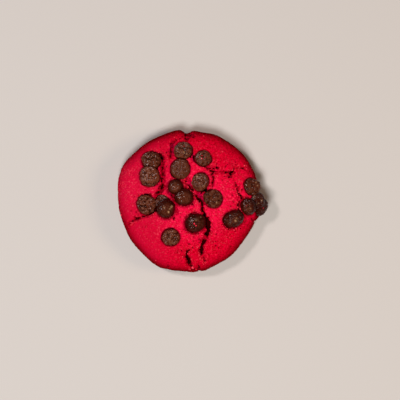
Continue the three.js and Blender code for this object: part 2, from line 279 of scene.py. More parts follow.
def in_marks(points, marks, inner, ragged=0):
    """How far points lie in round marks of the picture, given as place and radius: 1 within an inner share of
    the radius and 0 outside it, with the edge moved out and in by ragged."""
    shares = [ramp(pixels_away(points, x, y) + ragged, radius, inner * radius) for x, y, radius in marks]
    return np.max(shares, axis=0)


print("one picture pixel is", round(MM_PER_PIXEL, 3), "mm")

# %% [markdown]
# ## Chocolate drops
#
# Baking drops start as small kisses and soften in the oven. Those that fell point down show their flat side
# as a matte, wrinkled disc; the others are still round caps. Each is a half section turned about its axis and
# leant its own way, as in the solid model, but with its corners rounded and a skin of wrinkles. The drops are
# worked out before the dough, because the dough gives way under them.

# %% Sizes and places of the drops
DROP_OUTLINES = {  # half sections from the underside to the top, in shares of radius and height
    "flat": [(0, 0), (0.8, 0), (0.98, 0.3), (1, 0.72), (0.84, 0.97), (0, 1)],
    "dome": [(0, 0), (0.84, 0), (1, 0.3), (1, 0.56), (0.72, 0.86), (0, 1)],
}
DROP_HEIGHTS = {"flat": 0.84, "dome": 1.16}  # height as a share of the radius
DROP_WOBBLE = 0.035  # how far a drop's rim leaves its round form, as a share of its radius

# Each drop's form, its skin, how dark it is as a share, its middle (x, y) and radius in picture pixels, how
# far it stands proud of the dough in mm, its lean and direction of lean in degrees, and how far it is
# stretched, as a share, along a direction in degrees.
DROPS = [
    ("flat", "wrinkled", 0.1, 183.3, 150.9, 8.9, 1.5, 5, 200, 0, 0),
    ("flat", "wrinkled", 0.3, 203.4, 158.7, 7.9, 1.2, 6, 60, 0, 0),
    ("flat", "ridged", 0.3, 151.5, 160.6, 9.4, 1.1, 16, 100, 0, 0),
    ("flat", "wrinkled", 0, 149.9, 176.4, 10.2, 1.7, 4, 180, 0, 0),
    ("flat", "matte", 0.3, 180.5, 169.1, 9.9, 1.5, 3, 250, 0, 0),
    ("flat", "wrinkled", 0.15, 200.3, 182, 9, 1.5, 18, 170, 0, 0),
    ("dome", "smooth", 0.1, 175.6, 187, 7.5, 3, 8, 130, 0, 0),
    ("dome", "smooth", 0.3, 184.1, 197.2, 9.1, 3.2, 8, 300, 0, 0),
    ("flat", "wrinkled", 0.35, 212.8, 198.6, 9.2, 1.7, 14, 30, 0, 0),
    ("flat", "ridged", 0.15, 146.4, 204.4, 9.4, 1.5, 6, 150, 0, 0),
    ("flat", "wrinkled", 0.5, 162.8, 202.2, 7.7, 0.9, 8, 90, 0, 0),
    ("dome", "smooth", 0.5, 166.2, 209, 9.2, 3.9, 14, 330, 0, 0),
    ("dome", "craggy", 0.7, 195.6, 222.9, 9.7, 2.9, 5, 280, 0.04, 10),
    ("flat", "wrinkled", 0.05, 171.1, 237, 8.7, 1.4, 4, 270, 0, 0),
    ("dome", "craggy", 0.5, 233, 219, 9.5, 3.2, 8, 245, 0.15, 30),
    ("flat", "ridged", 0.5, 252, 186.4, 8.5, 2.3, 15, 10, 0, 0),
    ("dome", "craggy", 0.5, 247.8, 206.8, 8, 3.2, 16, 230, 0, 0),
    ("dome", "craggy", 0.8, 258, 199.8, 7.8, 13.7, 24, 60, 0.08, 130),
    ("dome", "craggy", 0.9, 260.9, 207.4, 8.3, 11.9, 36, 335, 0.08, 70),
]

OVER_THE_RIM = (18, 19)  # these hang over the rim, and their height is that of the middle over the table

# The drop that keeps its form and the one that it presses in, where two have run together.
ON_TOP = [(4, 3), (5, 1), (8, 7), (12, 11), (12, 10), (15, 17), (16, 18), (17, 18), (17, 19), (18, 19)]

# Skins: depth of the creases, how far apart they lie and how many times longer than wide they are drawn, and
# height of the grain, in millimetres; how fine the grain is and how satin, as shares.
SKINS = {
    "matte": {"crease": 0.25, "apart": 2, "drawn": 1, "grain": 0.28, "fine": 1, "satin": 0},
    "wrinkled": {"crease": 0.55, "apart": 2.5, "drawn": 1.3, "grain": 0.28, "fine": 0.25, "satin": 0.2},
    "ridged": {"crease": 0.95, "apart": 2.3, "drawn": 2.4, "grain": 0.28, "fine": 0.1, "satin": 0.7},
    "smooth": {"crease": 0.2, "apart": 3, "drawn": 1, "grain": 0.17, "fine": 0.35, "satin": 0.9},
    "craggy": {"crease": 0.5, "apart": 2.3, "drawn": 1.4, "grain": 0.29, "fine": 0.2, "satin": 0.2},
}

# %% The form of a drop
CORNER_CUTS = 3  # each round cuts the corners of the half section once more
CUT_SHARE = 0.25  # share of a stretch that is cut off at each end


def rounded(corners):
    """Cuts the corners off a line: each stretch keeps the part from a quarter to three quarters of it."""
    line = np.array(corners, float)
    for _ in range(CORNER_CUTS):
        cuts = [line[:-1] * (1 - share) + line[1:] * share for share in (CUT_SHARE, 1 - CUT_SHARE)]
        line = np.vstack([line[:1], np.stack(cuts, 1).reshape(-1, 2), line[-1:]])
    return line


def leant(lean, towards):
    """The turn by an angle about the level axis that lies square to a direction, as a 3 by 3 matrix:
    I + sin a K + (1 - cos a) K^2, where K crosses a vector with the axis."""
    x, y = -math.sin(math.radians(towards)), math.cos(math.radians(towards))
    cross = np.array([[0, 0, y], [0, 0, -x], [-y, x, 0]])
    angle = math.radians(lean)
    return np.eye(3) + math.sin(angle) * cross + (1 - math.cos(angle)) * cross @ cross


def set_drop(number, form, skin, dark, x, y, r, stands, lean, towards, stretch, along):
    """A drop's measures in millimetres: its height over the dough puts its middle in place."""
    radius = r * MM_PER_PIXEL
    height = radius * DROP_HEIGHTS[form]
    spot = from_picture([x, y])
    middle_up = stands if number in OVER_THE_RIM else skin_over(*spot)[0][2] + stands - height / 2
    return SimpleNamespace(
        number=number, form=form, radius=radius, height=height, middle=np.array([*spot, middle_up]),
        turn=leant(lean, towards), corners=np.array(DROP_OUTLINES[form]),
        outline=rounded(DROP_OUTLINES[form]), stretch=stretch, along=along,
        skin=SimpleNamespace(**SKINS[skin]), dark=dark,
    )


def drop_scale(drop, angle):
    """How far a drop's rim leaves its round form: two waves round it, and a stretch along one direction."""
    wobble = np.sin(2 * angle + drop.number) + np.sin(3 * angle + 2 * drop.number) / 2
    return 1 + DROP_WOBBLE * wobble + drop.stretch * np.cos(2 * (angle - math.radians(drop.along)))


def drop_surface(drop, outline, angle):
    """The plain surface of a drop about its own middle: radius times outline times scale, turned about z."""
    out = drop.radius * outline[None, :, 0] * drop_scale(drop, angle)[:, None]
    up = np.broadcast_to(drop.height * (outline[None, :, 1] - 0.5), out.shape)
    return np.stack([out * np.cos(angle)[:, None], out * np.sin(angle)[:, None], up], -1)


def in_place(drop, points):
    """Points of a drop, leant and set on the cookie."""
    return points @ drop.turn.T + drop.middle


drops = [set_drop(count, *measures) for count, measures in enumerate(DROPS, 1)]
print(len(drops), "drops,", round(2 * min(d.radius for d in drops), 1), "to",
      round(2 * max(d.radius for d in drops), 1), "mm across")

# %% [markdown]
# ## The middle of the frame
#
# The frame's origin lies under the middle of the whole solid cookie, and not under the middle of the dough.
# Drop 14 lies free on the dough, so its facets, worked out as the solid has them, show the difference.

# %% From the dough's middle to the frame's
SOLID_SIDES = 16  # facets round a drop of the solid model
FREE_DROP = drops[13]  # drop 14

facet_angles = np.arange(SOLID_SIDES) * 2 * math.pi / SOLID_SIDES
facets = in_place(FREE_DROP, drop_surface(FREE_DROP, FREE_DROP.corners, facet_angles)).reshape(-1, 3)
facet_box = np.array([facets.min(0), facets.max(0)])
frame_box = np.array(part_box("drop_14")) / MM
shift = (frame_box - facet_box).mean(0) * (1, 1, 0)
print("the frame lies", shift.round(3), "mm away")
print("left over:", np.abs(frame_box - facet_box - shift).max().round(4), "mm")

# %% [markdown]
# ## From arrays to a mesh
#
# Every surface below ends as an array of points and arrays of faces. One function puts them into a Blender
# mesh in metres, in the frame, and shades it smoothly. Numbers that belong to the points, such as how deep
# they lie in the crumb, go with them as attributes, which the materials read.

# %% Make a piece
BOX_SPARE = np.array([0.02, 0.02, 0])  # mm kept free inside the solid model's box
room = np.array(solid_box) / MM + BOX_SPARE * [[1], [-1]]


def make_piece(name, points, faces, attributes):
    """A mesh object from points in millimetres and blocks of faces, riding on the cookie's one body. Points
    that stand out of the solid model's box, by hundredths of a millimetre, are set back to it."""
    placed = np.clip(points + shift, room[0], room[1])
    mesh = bpy.data.meshes.new(name)
    mesh.from_pydata((placed * MM).tolist(), [], [face for block in faces for face in block.tolist()])
    mesh.shade_smooth()
    for label, values in attributes.items():
        mesh.attributes.new(label, "FLOAT", "POINT").data.foreach_set("value", values.astype(np.float32))
    piece = bpy.data.objects.new(name, mesh)
    bpy.context.scene.collection.objects.link(piece)
    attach(piece, "root")
    print(name, len(points), "points,", sum(len(block) for block in faces), "faces")
    return piece


# %% [markdown]
# ## Skins of the drops
#
# Chocolate that melts and sets again shrinks a little and its surface puckers: folds with creases between
# them on the flat sides, a rough crust where crumbs stuck, and a soft satin skin on the caps that melted
# whole. The creases are lines where a smooth noise crosses zero, so they wander and join as real ones do.
# They are carved into the mesh, and how deep each point lies is kept, to paint shade into the creases and
# pits.

# %% Where points lie in a drop
NO_WIDTH = 1e-6  # stands in for a width of nothing, which can't divide


def within(drop, points):
    """How far out in a drop each point is: its distance from the axis as a share of the outline there, so
    that it is below 1 inside the drop."""
    local = (points - drop.middle) @ drop.turn
    scale = drop_scale(drop, np.arctan2(local[..., 1], local[..., 0]))
    up = local[..., 2] / drop.height + 0.5
    reach = np.interp(up, drop.outline[:, 1], drop.outline[:, 0], left=0, right=0)
    return np.hypot(local[..., 0], local[..., 1]) / (drop.radius * scale * np.maximum(reach, NO_WIDTH))


def surface_normals(grid):
    """Outward normals of a turned surface: the run round it crossed with the run up it. Its two poles look
    straight down and straight up."""
    normal = np.cross(np.roll(grid, -1, 0) - np.roll(grid, 1, 0), np.gradient(grid, axis=1))
    normal[:, 0] = (0, 0, -1)
    normal[:, -1] = (0, 0, 1)
    return normal / np.linalg.norm(normal, axis=-1)[..., None]


apart = within(drops[0], drops[4].middle).round(2)
print("drop 5 has its middle", apart, "half widths of drop 1 from that drop's axis")

# %% Creases, swellings, grain and pits
TOP_FROM = (-0.35, 0.2)  # the top begins and is full at these heights over the middle, in shares of height
WARPS = [(0.7, 2.2), (0.3, 0.8)]  # how far the creases wander, and over what length
CREASE_WIDTH = 0.17  # share of the noise's swing that a crease takes up
CREASE_FULL = 0.5  # depth from which a crease's painted shade is as dark as it gets
BREAK_LENGTH, BREAK_ENDS = 1.1, (-0.45, 0.15)  # length of a crease's pieces, and where they break off
SWELL_LENGTH, SWELL_HEIGHT = 1.5, 0.7  # the skin between creases, beside their distance and depth
LUMP_SIZE, GRAIN_SIZE = 1.3, 0.62  # coarse and fine grain
GRAIN_LEAST, GRAIN_MORE = 0.7, 0.4  # how strong the fine grain is, and how much more on a fine skin
LUMP_FULL = 0.8  # height of the noise at which a lump's bloom and painted highlight, or a hollow's painted shade, is full
LUMPY_FROM = 0.28  # depth of the grain from which lumps and hollows take their full painted highlight and shade
PIT_APART, PIT_DEPTH, PIT_SHADE = 1.4, 0.18, 0.5  # the last is how dark a pit's painted shade is, beside a full crease
PIT_EDGE = (0.3, 0.1)  # where a pit begins and is full, as shares of their distance
WARP_SEEDS = (100, 200, 300)  # seeds are added to a drop's number, so that no two drops are alike
CREASE_SEED, SWELL_SEED, LUMP_SEED, GRAIN_SEED, BREAK_SEED, PIT_SEED = range(400, 1000, 100)


def drop_relief(drop, grid):
    """Height of a drop's skin, how deep in a crease each point is, and how high on a lump. The creases lie
    where warped noise crosses zero, on and round the top, and a second noise breaks them off. Between them
    the skin swells, and all of it is grained and pitted."""
    kind, seed = drop.skin, drop.number
    warped = grid.copy()
    for far, size in WARPS:
        warped += far * np.stack([humps(grid, size, seed + k) for k in WARP_SEEDS], -1)
    turn = math.radians(drop.along)
    x, y, z = np.moveaxis(warped, -1, 0)
    down = (math.cos(turn) * x + math.sin(turn) * y) / kind.drawn
    drawn = np.stack([down, math.cos(turn) * y - math.sin(turn) * x, z], -1)
    on_top = ramp(grid[..., 2] / drop.height, *TOP_FROM)
    creased = 1 - ramp(np.abs(humps(drawn, kind.apart, seed + CREASE_SEED)), 0, CREASE_WIDTH)
    creased *= on_top * ramp(humps(grid, BREAK_LENGTH * kind.apart, seed + BREAK_SEED), *BREAK_ENDS)
    pits = ramp(pebbles(grid, PIT_APART, seed + PIT_SEED), *PIT_EDGE)
    swell = on_top * humps(drawn, SWELL_LENGTH * kind.apart, seed + SWELL_SEED)
    lumps = (LUMP_SIZE, 1 - kind.fine, seed + LUMP_SEED)
    grain = layered(grid, [lumps, (GRAIN_SIZE, GRAIN_LEAST + GRAIN_MORE * kind.fine, seed + GRAIN_SEED)])
    height = kind.crease * (SWELL_HEIGHT * swell - creased) + kind.grain * grain - PIT_DEPTH * pits
    lump = np.clip(grain / LUMP_FULL, -1, 1) * min(1, kind.grain / LUMPY_FROM)
    # The crease share, with the pits', paints shade into the hollows of the skin.
    return height, np.maximum(creased * min(1, kind.crease / CREASE_FULL), PIT_SHADE * pits), lump


# %% Faces of a turned surface, and the order of its points


def closed_faces(around, up):
    """Faces of a turned surface whose points are two poles and, between them, up rings of around points."""
    ring = 1 + np.arange(up)[:, None] * around + np.arange(around)
    turned = np.roll(ring, -1, 1)
    quads = np.stack([ring[:-1], turned[:-1], turned[1:], ring[1:]], -1).reshape(-1, 4)
    bottom = np.stack([np.zeros(around, int), turned[0], ring[0]], -1)
    top = np.stack([np.full(around, 1 + around * up), ring[-1], turned[-1]], -1)
    return [quads, bottom, top]


def in_one_line(grid):
    """The values of a grid in the order of the faces' points: one pole, the rings between, the other pole."""
    between = grid[:, 1:-1].swapaxes(0, 1).reshape(-1, *grid.shape[2:])
    return np.concatenate([grid[:1, 0], between, grid[:1, -1]])


# %% Give each drop its skin
DROP_AROUND = 112  # points round a drop
DROP_UP = 56  # points from the middle of its underside to the middle of its top

drop_angles = np.arange(DROP_AROUND) * 2 * math.pi / DROP_AROUND
drop_faces = closed_faces(DROP_AROUND, DROP_UP - 2)
for drop in drops:
    walk = lengths_along(drop.outline * (1, DROP_HEIGHTS[drop.form]))
    grid = drop_surface(drop, in_even_steps(drop.outline, walk, DROP_UP), drop_angles)
    relief, creased, lump = drop_relief(drop, grid)
    grid = grid + surface_normals(grid) * relief[..., None]
    drop.up = in_one_line(grid[..., 2]) / drop.height + 0.5
    drop.creased, drop.lump = in_one_line(creased), in_one_line(lump)
    drop.points = in_place(drop, in_one_line(grid))
    drop.contact = np.zeros(len(drop.points))
print("each drop has", len(drop.points), "points")

# %% Press the lower of two drops that have run together
ANCHOR_OUT = 0.45  # where a pressed drop's points are pulled to, as a share of its radius
PRESS_OVERLAP = 0.97  # a pressed drop reaches this far into the one on top, so that no slit shows
PRESS_ROUNDS = 12  # how often the way is halved
BESIDE = [(10, 11), (10, 12)]  # drops so close that the second gets painted shade beside the first
CONTACT_REACH = {"flat": 0.9, "dome": 1.7}  # how far out the painted shade beside an upper drop ends
CONTACT_FULL = 0.1  # and how far out it begins to fade


def press(lower, upper, points):
    """Pulls the points of a lower drop that lie in the upper one back towards an anchor in the lower's far
    half, halving the way each time, until they just lie outside it."""
    away = (lower.middle - upper.middle) * (1, 1, 0)
    anchor = lower.middle + ANCHOR_OUT * lower.radius * away / np.linalg.norm(away)
    inside = within(upper, points) < PRESS_OVERLAP
    ray = points[inside] - anchor
    near, far = np.zeros(len(ray)), np.ones(len(ray))
    for _ in range(PRESS_ROUNDS):
        half = (near + far) / 2
        hit = within(upper, anchor + half[:, None] * ray) < PRESS_OVERLAP
        near, far = np.where(hit, near, half), np.where(hit, half, far)
    points[inside] = anchor + near[:, None] * ray
    return int(inside.sum())


for keeps, gives in ON_TOP + BESIDE:
    upper, beneath = drops[keeps - 1], drops[gives - 1]
    from_upper = (within(upper, beneath.points) - 1) * upper.radius
    # a line of painted shade where the lower drop meets the upper
    beneath.contact = np.maximum(beneath.contact, ramp(from_upper, CONTACT_REACH[upper.form], CONTACT_FULL))
    if (keeps, gives) in ON_TOP:
        print("drop", keeps, "presses", press(beneath, upper, beneath.points), "points of drop", gives)

# %% [markdown]
# ## Cracks
#
# The top dries to a crust while the inside still rises, so it tears. The larger cracks are in the solid model
# as cut grooves, and here they follow the same smooth paths through the same stations, with the same swing
# and uneven width. On top of that their lips are broken at the size of a crumb, which only a fine mesh can
# show. Short, fine cracks and single holes are added in the same way.

# %% Stations of the cracks
# Picture points with the crack's width there, in pixels.
CRACKS = {
    "middle": [
        (184.5, 180, 0.9), (190.5, 188.5, 1.3), (196.5, 195.5, 1.6), (201.2, 203, 2.6),
        (202.2, 207.5, 3.4), (204.2, 214, 3), (208.4, 222.4, 5.6), (208.2, 230.5, 4.6), (204.6, 240, 4),
        (201.6, 250, 3.8), (203, 256, 1.6), (205, 262, 1.4),
    ],
    "left": [
        (161.6, 155.5, 2.4), (162.4, 162, 2), (162.8, 169.5, 2), (163.4, 174, 1.6), (161.4, 180, 1.8),
        (163.2, 186.6, 2), (158.4, 193.4, 3), (156.4, 203, 3.4), (152.5, 212.5, 1.8), (144, 215.6, 2),
        (136.4, 218.6, 2.4), (131, 222, 1.6), (128.6, 224.6, 0.8),
    ],
    "bottom": [
        (189.2, 250.2, 1.2), (186.4, 253.4, 2.6), (185.6, 256.2, 2.8), (187.4, 259.6, 4),
        (189.2, 262.6, 4.6), (189.8, 265.4, 2.8), (192, 268.4, 1.8), (193.5, 270.6, 1.4),
    ],
    "right": [
        (206.5, 167.8, 1.2), (211.8, 171.6, 2.6), (217, 171.2, 1.1), (224, 172, 0.9), (228.6, 173.4, 1.6),
        (231.2, 174, 3.6), (233.6, 169.6, 2), (238.6, 166.6, 0.8), (243.6, 168.4, 2.2), (246, 166, 0.8),
    ],
    "inner": [(212.2, 172.5, 1.6), (213.4, 178, 2.2), (212.4, 183, 1.8), (211.6, 187.5, 1)],
    "outer": [(236, 182, 0.8), (237.4, 189.2, 1.8), (239, 193, 1.6), (241.4, 195.8, 2.4), (243, 199.5, 1.4)],
    "fold": [
        (176, 139, 1), (171.8, 143, 1.4), (170.8, 149, 1.6), (170.8, 154, 1.4), (169.8, 158.6, 1),
    ],
}

# How open each crack is, as loose crumbs fill the rest, and how much wider it has crumbled than it tore.
OPEN_AND_CRUMBLED = {
    "middle": (0.95, 1.18), "left": (0.9, 1.12), "bottom": (1, 1.35), "right": (0.8, 1.05),
    "inner": (0.85, 1.1), "outer": (0.85, 1.1), "fold": (0.15, 1.4),
}
FILL_SIZE, FILL_SEED = 2.6, 35  # mm between two fills

# Larger bridges over the cracks: picture place and radius in pixels.
BRIDGES = [
    (204.9, 237.6, 3.4), (204, 246.4, 1.8), (202.8, 256.3, 2), (162.2, 164.2, 3.2), (162.8, 176.7, 1.5),
    (162, 183.2, 1.5), (160.6, 190.6, 2.2), (158.2, 195, 2.4), (209, 169.5, 1.5), (220.4, 171.4, 4.6),
    (236.6, 167.4, 1.8), (213.2, 175.3, 1.4), (212.2, 184.8, 1.7), (237, 186.8, 1.7), (148, 214.4, 1.5),
    (140, 217.2, 1.6), (133.6, 220.4, 1.6),
]
BRIDGE_LEFT = 0.2  # share of a crack's depth that is left under a bridge

# Fine cracks and slits beside the drops.
FINE_CRACKS = [
    [(150.6, 150.2, 1), (155.9, 151.3, 1.7), (160.2, 154.7, 2.2), (161.8, 159.4, 1.6)],
    [(141.6, 194.9, 0.8), (147, 193.9, 1.3), (152, 195.4, 1.1)],
    [(170.6, 180.8, 1), (175, 178.8, 1.6), (180, 180.2, 1.3)],
    [(187.3, 229, 1), (192, 232.8, 1.3), (197.6, 233.2, 1)],
    [(186.2, 217, 1), (190.4, 213.2, 1.3), (197, 212.2, 1)],
    [(224.6, 224.6, 1), (230, 228.6, 1.4), (236.4, 227.2, 1)],
    [(240, 201.6, 1.2), (239, 207.2, 1.8), (241.2, 212.8, 1.2)],
    [(244.8, 219.4, 1), (245.9, 223.4, 1.3)],
    [(174.4, 217, 0.8), (174.2, 219.6, 1.2)],
    [(169.1, 193.3, 0.9), (173.7, 196.4, 1.1), (175.2, 201.7, 1), (174.5, 206, 0.8)],
    [(205.8, 189.9, 3), (201.6, 192.9, 1.8)],
    [(191.6, 186, 1), (194.4, 191.4, 1.2)],
    [(179.6, 180.4, 0.8), (183.4, 180.6, 1)],
    [(156.6, 200.6, 2.4), (156.9, 210.5, 2.8)],
    [(194, 156.4, 1.7), (194.6, 161, 1.2)],
    [(192.4, 150.4, 0.9), (192.5, 152.6, 1)],
    [(190.4, 156.4, 1.1), (190.7, 157.6, 1.1)],
    [(193.3, 178.4, 1.2), (192.6, 182.6, 1)],
    [(160.6, 152.6, 1.6), (161.8, 159, 1.4)],
    [(184.9, 133.6, 1.8), (184.9, 138.8, 1.4)],
    [(186.6, 133.4, 1.2), (191.2, 134.2, 1.4)],
]

# Single holes: picture place and width in pixels.
HOLES = [
    (191.6, 189.5, 1.2), (192.8, 204, 1), (216.1, 233.9, 1.1), (215.8, 245.5, 1.4), (218.7, 247.8, 1.1),
    (230.3, 246.4, 1.4), (218, 224, 1), (203.5, 257.4, 1.4), (205, 261.7, 1.4), (231, 174.2, 3.4),
    (233.7, 169.4, 1.5), (236.6, 164.6, 1.1), (243.5, 168.6, 2.4), (217.1, 167.3, 1.5), (213.6, 168.8, 1.5),
    (241.5, 195.8, 2.1), (128.3, 222.8, 1.2), (243, 220.5, 0.9), (227.5, 164.5, 0.9), (186.2, 181.6, 1),
    (232.4, 165.4, 1), (224.4, 176.2, 1), (209.8, 168.9, 1.2), (245.6, 226.8, 0.9), (213.5, 242.2, 0.9),
    (163.4, 187.2, 1.8), (162.4, 169.4, 1.8), (191.9, 204.4, 0.9), (192.3, 208.6, 1), (215.6, 241.4, 0.9),
    (241.3, 228.4, 1), (212.2, 171.6, 1.8), (216.6, 167.6, 1.3), (218.2, 168.4, 1.1), (222.8, 180, 1.3),
    (229.4, 176.8, 1.5), (160.2, 146.2, 0.9), (168.4, 150.6, 1.1), (166.2, 158.6, 1),
]

# Notches where the rim has split: inner and outer end.
SPLITS = [
    [(168.2, 262.5, 1), (168, 268, 2.2)],
    [(198.4, 262.8, 1), (199.2, 268.4, 3)],
    [(251.6, 216.5, 1), (254.8, 221.4, 2.2)],
]

# %% A smooth path through stations
CRACK_STEP = 1.6  # distance between two sections of a crack
SPAN_STEPS = 24  # points between two stations when a path's length is measured
FEWEST_STEPS = 3  # sections of the shortest crack


def smooth_path(stations):
    """A centripetal Catmull-Rom curve through the stations, in even steps: between two stations it leaves and
    arrives with slopes weighted by the square roots of the distances round them."""
    ends = [2 * stations[0] - stations[1], *stations, 2 * stations[-1] - stations[-2]]
    t = np.linspace(0, 1, SPAN_STEPS, endpoint=False)[:, None]
    spans = []
    for before, start, end, after in zip(ends, ends[1:], ends[2:], ends[3:]):
        d0, d1, d2 = (math.sqrt(np.linalg.norm(run)) for run in (start - before, end - start, after - end))
        leave = d1 * ((start - before) / d0 - (end - before) / (d0 + d1) + (end - start) / d1)
        arrive = d1 * ((end - start) / d1 - (after - start) / (d1 + d2) + (after - end) / d2)
        bend = 3 * (end - start) - 2 * leave - arrive
        spans.append(start + leave * t + bend * t**2 + (2 * (start - end) + leave + arrive) * t**3)
    dense = np.vstack([*spans, stations[-1:]])
    along = lengths_along(dense)
    return in_even_steps(dense, along, max(FEWEST_STEPS, round(along[-1] / CRACK_STEP)) + 1)


# %% Cracks over the skin
CRACK_DEPTH = 1.2  # depth of a hair crack
CRACK_DEEPER = 1.5  # further depth for each millimetre of width
CRACK_DEEPEST = 5.5  # depth of the widest crack
CRACK_SWING = 0.35  # how far a crack leaves its smooth path
CRACK_RAGGED = 0.35  # how unevenly its edges break, as a share of its width
CRUMBLED = 1.1  # how much wider a fine crack or hole has crumbled than it tore
ROLLS_FROM = 5  # points of its path from which a crack is long enough for its lips to roll in
UNEVEN_STEP, UNEVEN_STRETCH = 12.9898, 43758.5453  # so steep and tall a sine ends in random digits
DRAWS_OF_A_CRACK, DRAWS_OF_A_POINT = 100, 4  # how many whole numbers each of them has for itself
FINE_SEEDS_FROM = 20  # the fine cracks' seeds begin here


def uneven(number):
    """An irregular number from -1 to 1 that is always the same for a whole number."""
    return 2 * np.mod(UNEVEN_STRETCH * np.sin(UNEVEN_STEP * number), 1) - 1


def cut(point, normal, left, right, depth, crumbled=CRUMBLED, bitten=1, rolls=False):
    """A cut in the skin: points and normals of its path, half widths to the left and right and depth at each
    point; how much wider it is than it tore, how ragged, and whether its lips roll in. It is fully open."""
    return SimpleNamespace(
        point=point, normal=normal, left=left, right=right, depth=depth, open=1, crumbled=crumbled,
        bitten=bitten, rolls=rolls,
    )


def crack_over_skin(stations, seed):
    """A crack: it swings about the smooth path between its ends, and its edges break unevenly."""
    stations = np.array(stations, float)
    plan = np.column_stack([from_picture(stations[:, :2]), stations[:, 2] * MM_PER_PIXEL])
    path = smooth_path(plan)
    draw = DRAWS_OF_A_CRACK * seed + DRAWS_OF_A_POINT * np.arange(len(path))
    swing = np.full(len(path), CRACK_SWING)
    swing[[0, -1]] = 0
    point, normal = skin_over(path[:, 0] + swing * uneven(draw), path[:, 1] + swing * uneven(draw + 1))
    left, right = (path[:, 2] / 2 * (1 + CRACK_RAGGED * uneven(draw + k)) for k in (2, 3))
    depth = np.minimum(CRACK_DEEPEST, CRACK_DEPTH + CRACK_DEEPER * path[:, 2])
    return cut(point, normal, left, right, depth, rolls=len(path) >= ROLLS_FROM)


grooves = [crack_over_skin(stations, seed) for seed, stations in enumerate(CRACKS.values())]
for groove, name in zip(grooves, CRACKS):
    groove.open, groove.crumbled = OPEN_AND_CRUMBLED[name]
print("sections of the larger cracks:", [len(groove.point) - 1 for groove in grooves])
grooves += [crack_over_skin(stations, FINE_SEEDS_FROM + seed) for seed, stations in enumerate(FINE_CRACKS)]

# %% Holes, and splits of the rim
HOLE_LENGTH, HOLE_DEPTH = 0.3, 2.4  # a hole is a cut this long, and deeper than this by its width
SPLIT_DEPTH = 2.2  # depth of a split at the shoulder and the waist
SPLIT_END_DEPTH = 0.9  # its depth at the inner end
SPLIT_SHOULDER = 0.86  # where it passes the shoulder, as a share of the way to the waist
SPLIT_FOOT_WIDTH = 0.8  # its width at the foot, as a share of the width at the rim
SPLIT_STOPS = 6  # points of its path down the side
SPLIT_BITTEN = 0.3  # how ragged its edges are beside those of a crack
SPLIT_SWAY, SPLIT_BEND = 0.02, 5.5  # how far it sways at the foot and how often it bends, in radians


def hole_in_skin(x, y, width):
    """A hole is a crack of almost no length."""
    place = from_picture([x, y])
    ends = np.array([place - (HOLE_LENGTH / 2, 0), place + (HOLE_LENGTH / 2, 0)])
    point, normal = skin_over(ends[:, 0], ends[:, 1])
    half = np.full(2, width * MM_PER_PIXEL / 2)
    return cut(point, normal, half, half, HOLE_DEPTH + 2 * half)


def split_over_skin(inner, outer):
    """A split: over the shoulder from its inner point, then down the side, swaying more towards the foot."""
    at_rim = from_picture(outer[:2])
    towards = math.atan2(at_rim[1], at_rim[0])
    fall = np.concatenate([[0], np.linspace(0, 1, SPLIT_STOPS)])
    down = WAIST_ALONG + fall * (BASE_ALONG - WAIST_ALONG)
    down[0] *= SPLIT_SHOULDER
    point, normal = skin(down, towards + SPLIT_SWAY * fall**2 * np.sin(SPLIT_BEND * (fall + towards)))
    start, start_normal = skin_over(*from_picture(inner[:2]))
    width = np.concatenate([[inner[2], outer[2]], outer[2] * np.linspace(1, SPLIT_FOOT_WIDTH, SPLIT_STOPS)])
    half = width * MM_PER_PIXEL / 2
    depth = np.full(len(half), SPLIT_DEPTH)
    depth[0] = SPLIT_END_DEPTH
    points, normals = np.vstack([start, point]), np.vstack([start_normal, normal])
    return cut(points, normals, half, half, depth, crumbled=1, bitten=SPLIT_BITTEN)


grooves += [hole_in_skin(*hole) for hole in HOLES]
grooves += [split_over_skin(*split) for split in SPLITS]
print(len(grooves), "cuts in all")

# %% [markdown]
# ## The grid of the dough
#
# One closed shell has to hold the whole skin evenly, with no pinched middle where a round grid would meet.
# So a square grid is folded to a disc: a cell's larger coordinate becomes its share of the way to the waist,
# and the other its direction. From the square's edge, rings go down the side and inwards under the base.

# %% Lay out the grid
TOP_CELLS = 248  # cells along a side of the square, so about a third of a millimetre each
SIDE_RINGS = 22
BASE_RINGS = 8

side = np.linspace(-1, 1, TOP_CELLS + 1)
square_x, square_y = np.meshgrid(side, side)
wide = np.abs(square_x) >= np.abs(square_y)
quarter = math.pi / 4
direction = np.where(
    wide,
    quarter * np.divide(square_y, square_x, out=np.zeros_like(square_x), where=square_x != 0),
    2 * quarter - quarter * np.divide(square_x, square_y, out=np.zeros_like(square_x), where=square_y != 0),
)
reach = np.where(wide, square_x, square_y)
top_angle = (direction + math.pi * (reach < 0)).ravel()
top_along = np.abs(reach).ravel() * WAIST_ALONG

on_square = np.arange(reach.size).reshape(reach.shape)
edges = [on_square[0, :-1], on_square[:-1, -1], on_square[-1, :0:-1], on_square[:0:-1, 0]]
square_edge = np.concatenate(edges)
AROUND = len(square_edge)
side_share = np.arange(1, SIDE_RINGS + 1) / SIDE_RINGS
side_along = np.repeat(WAIST_ALONG + side_share * (BASE_ALONG - WAIST_ALONG), AROUND)
side_angle = np.tile(top_angle[square_edge], SIDE_RINGS)
grid_along = np.concatenate([top_along, side_along])
grid_angle = np.concatenate([top_angle, side_angle])
print(len(grid_along), "points of skin,", AROUND, "round the rim")

# %% Join the grid's points to faces
top_faces = [on_square[:-1, :-1], on_square[:-1, 1:], on_square[1:, 1:], on_square[1:, :-1]]
top_faces = np.stack(top_faces, -1).reshape(-1, 4)
below_top = on_square.size + np.arange((SIDE_RINGS + BASE_RINGS) * AROUND).reshape(-1, AROUND)
rings = np.vstack([square_edge, below_top])
beside = np.roll(rings, -1, 1)
ring_faces = np.stack([rings[1:], beside[1:], beside[:-1], rings[:-1]], -1).reshape(-1, 4)
base_middle = on_square.size + below_top.size
base_fan = np.stack([np.full(AROUND, base_middle), beside[-1], rings[-1]], -1)
print(len(top_faces), "faces on top and", len(ring_faces), "down the side and under the base")

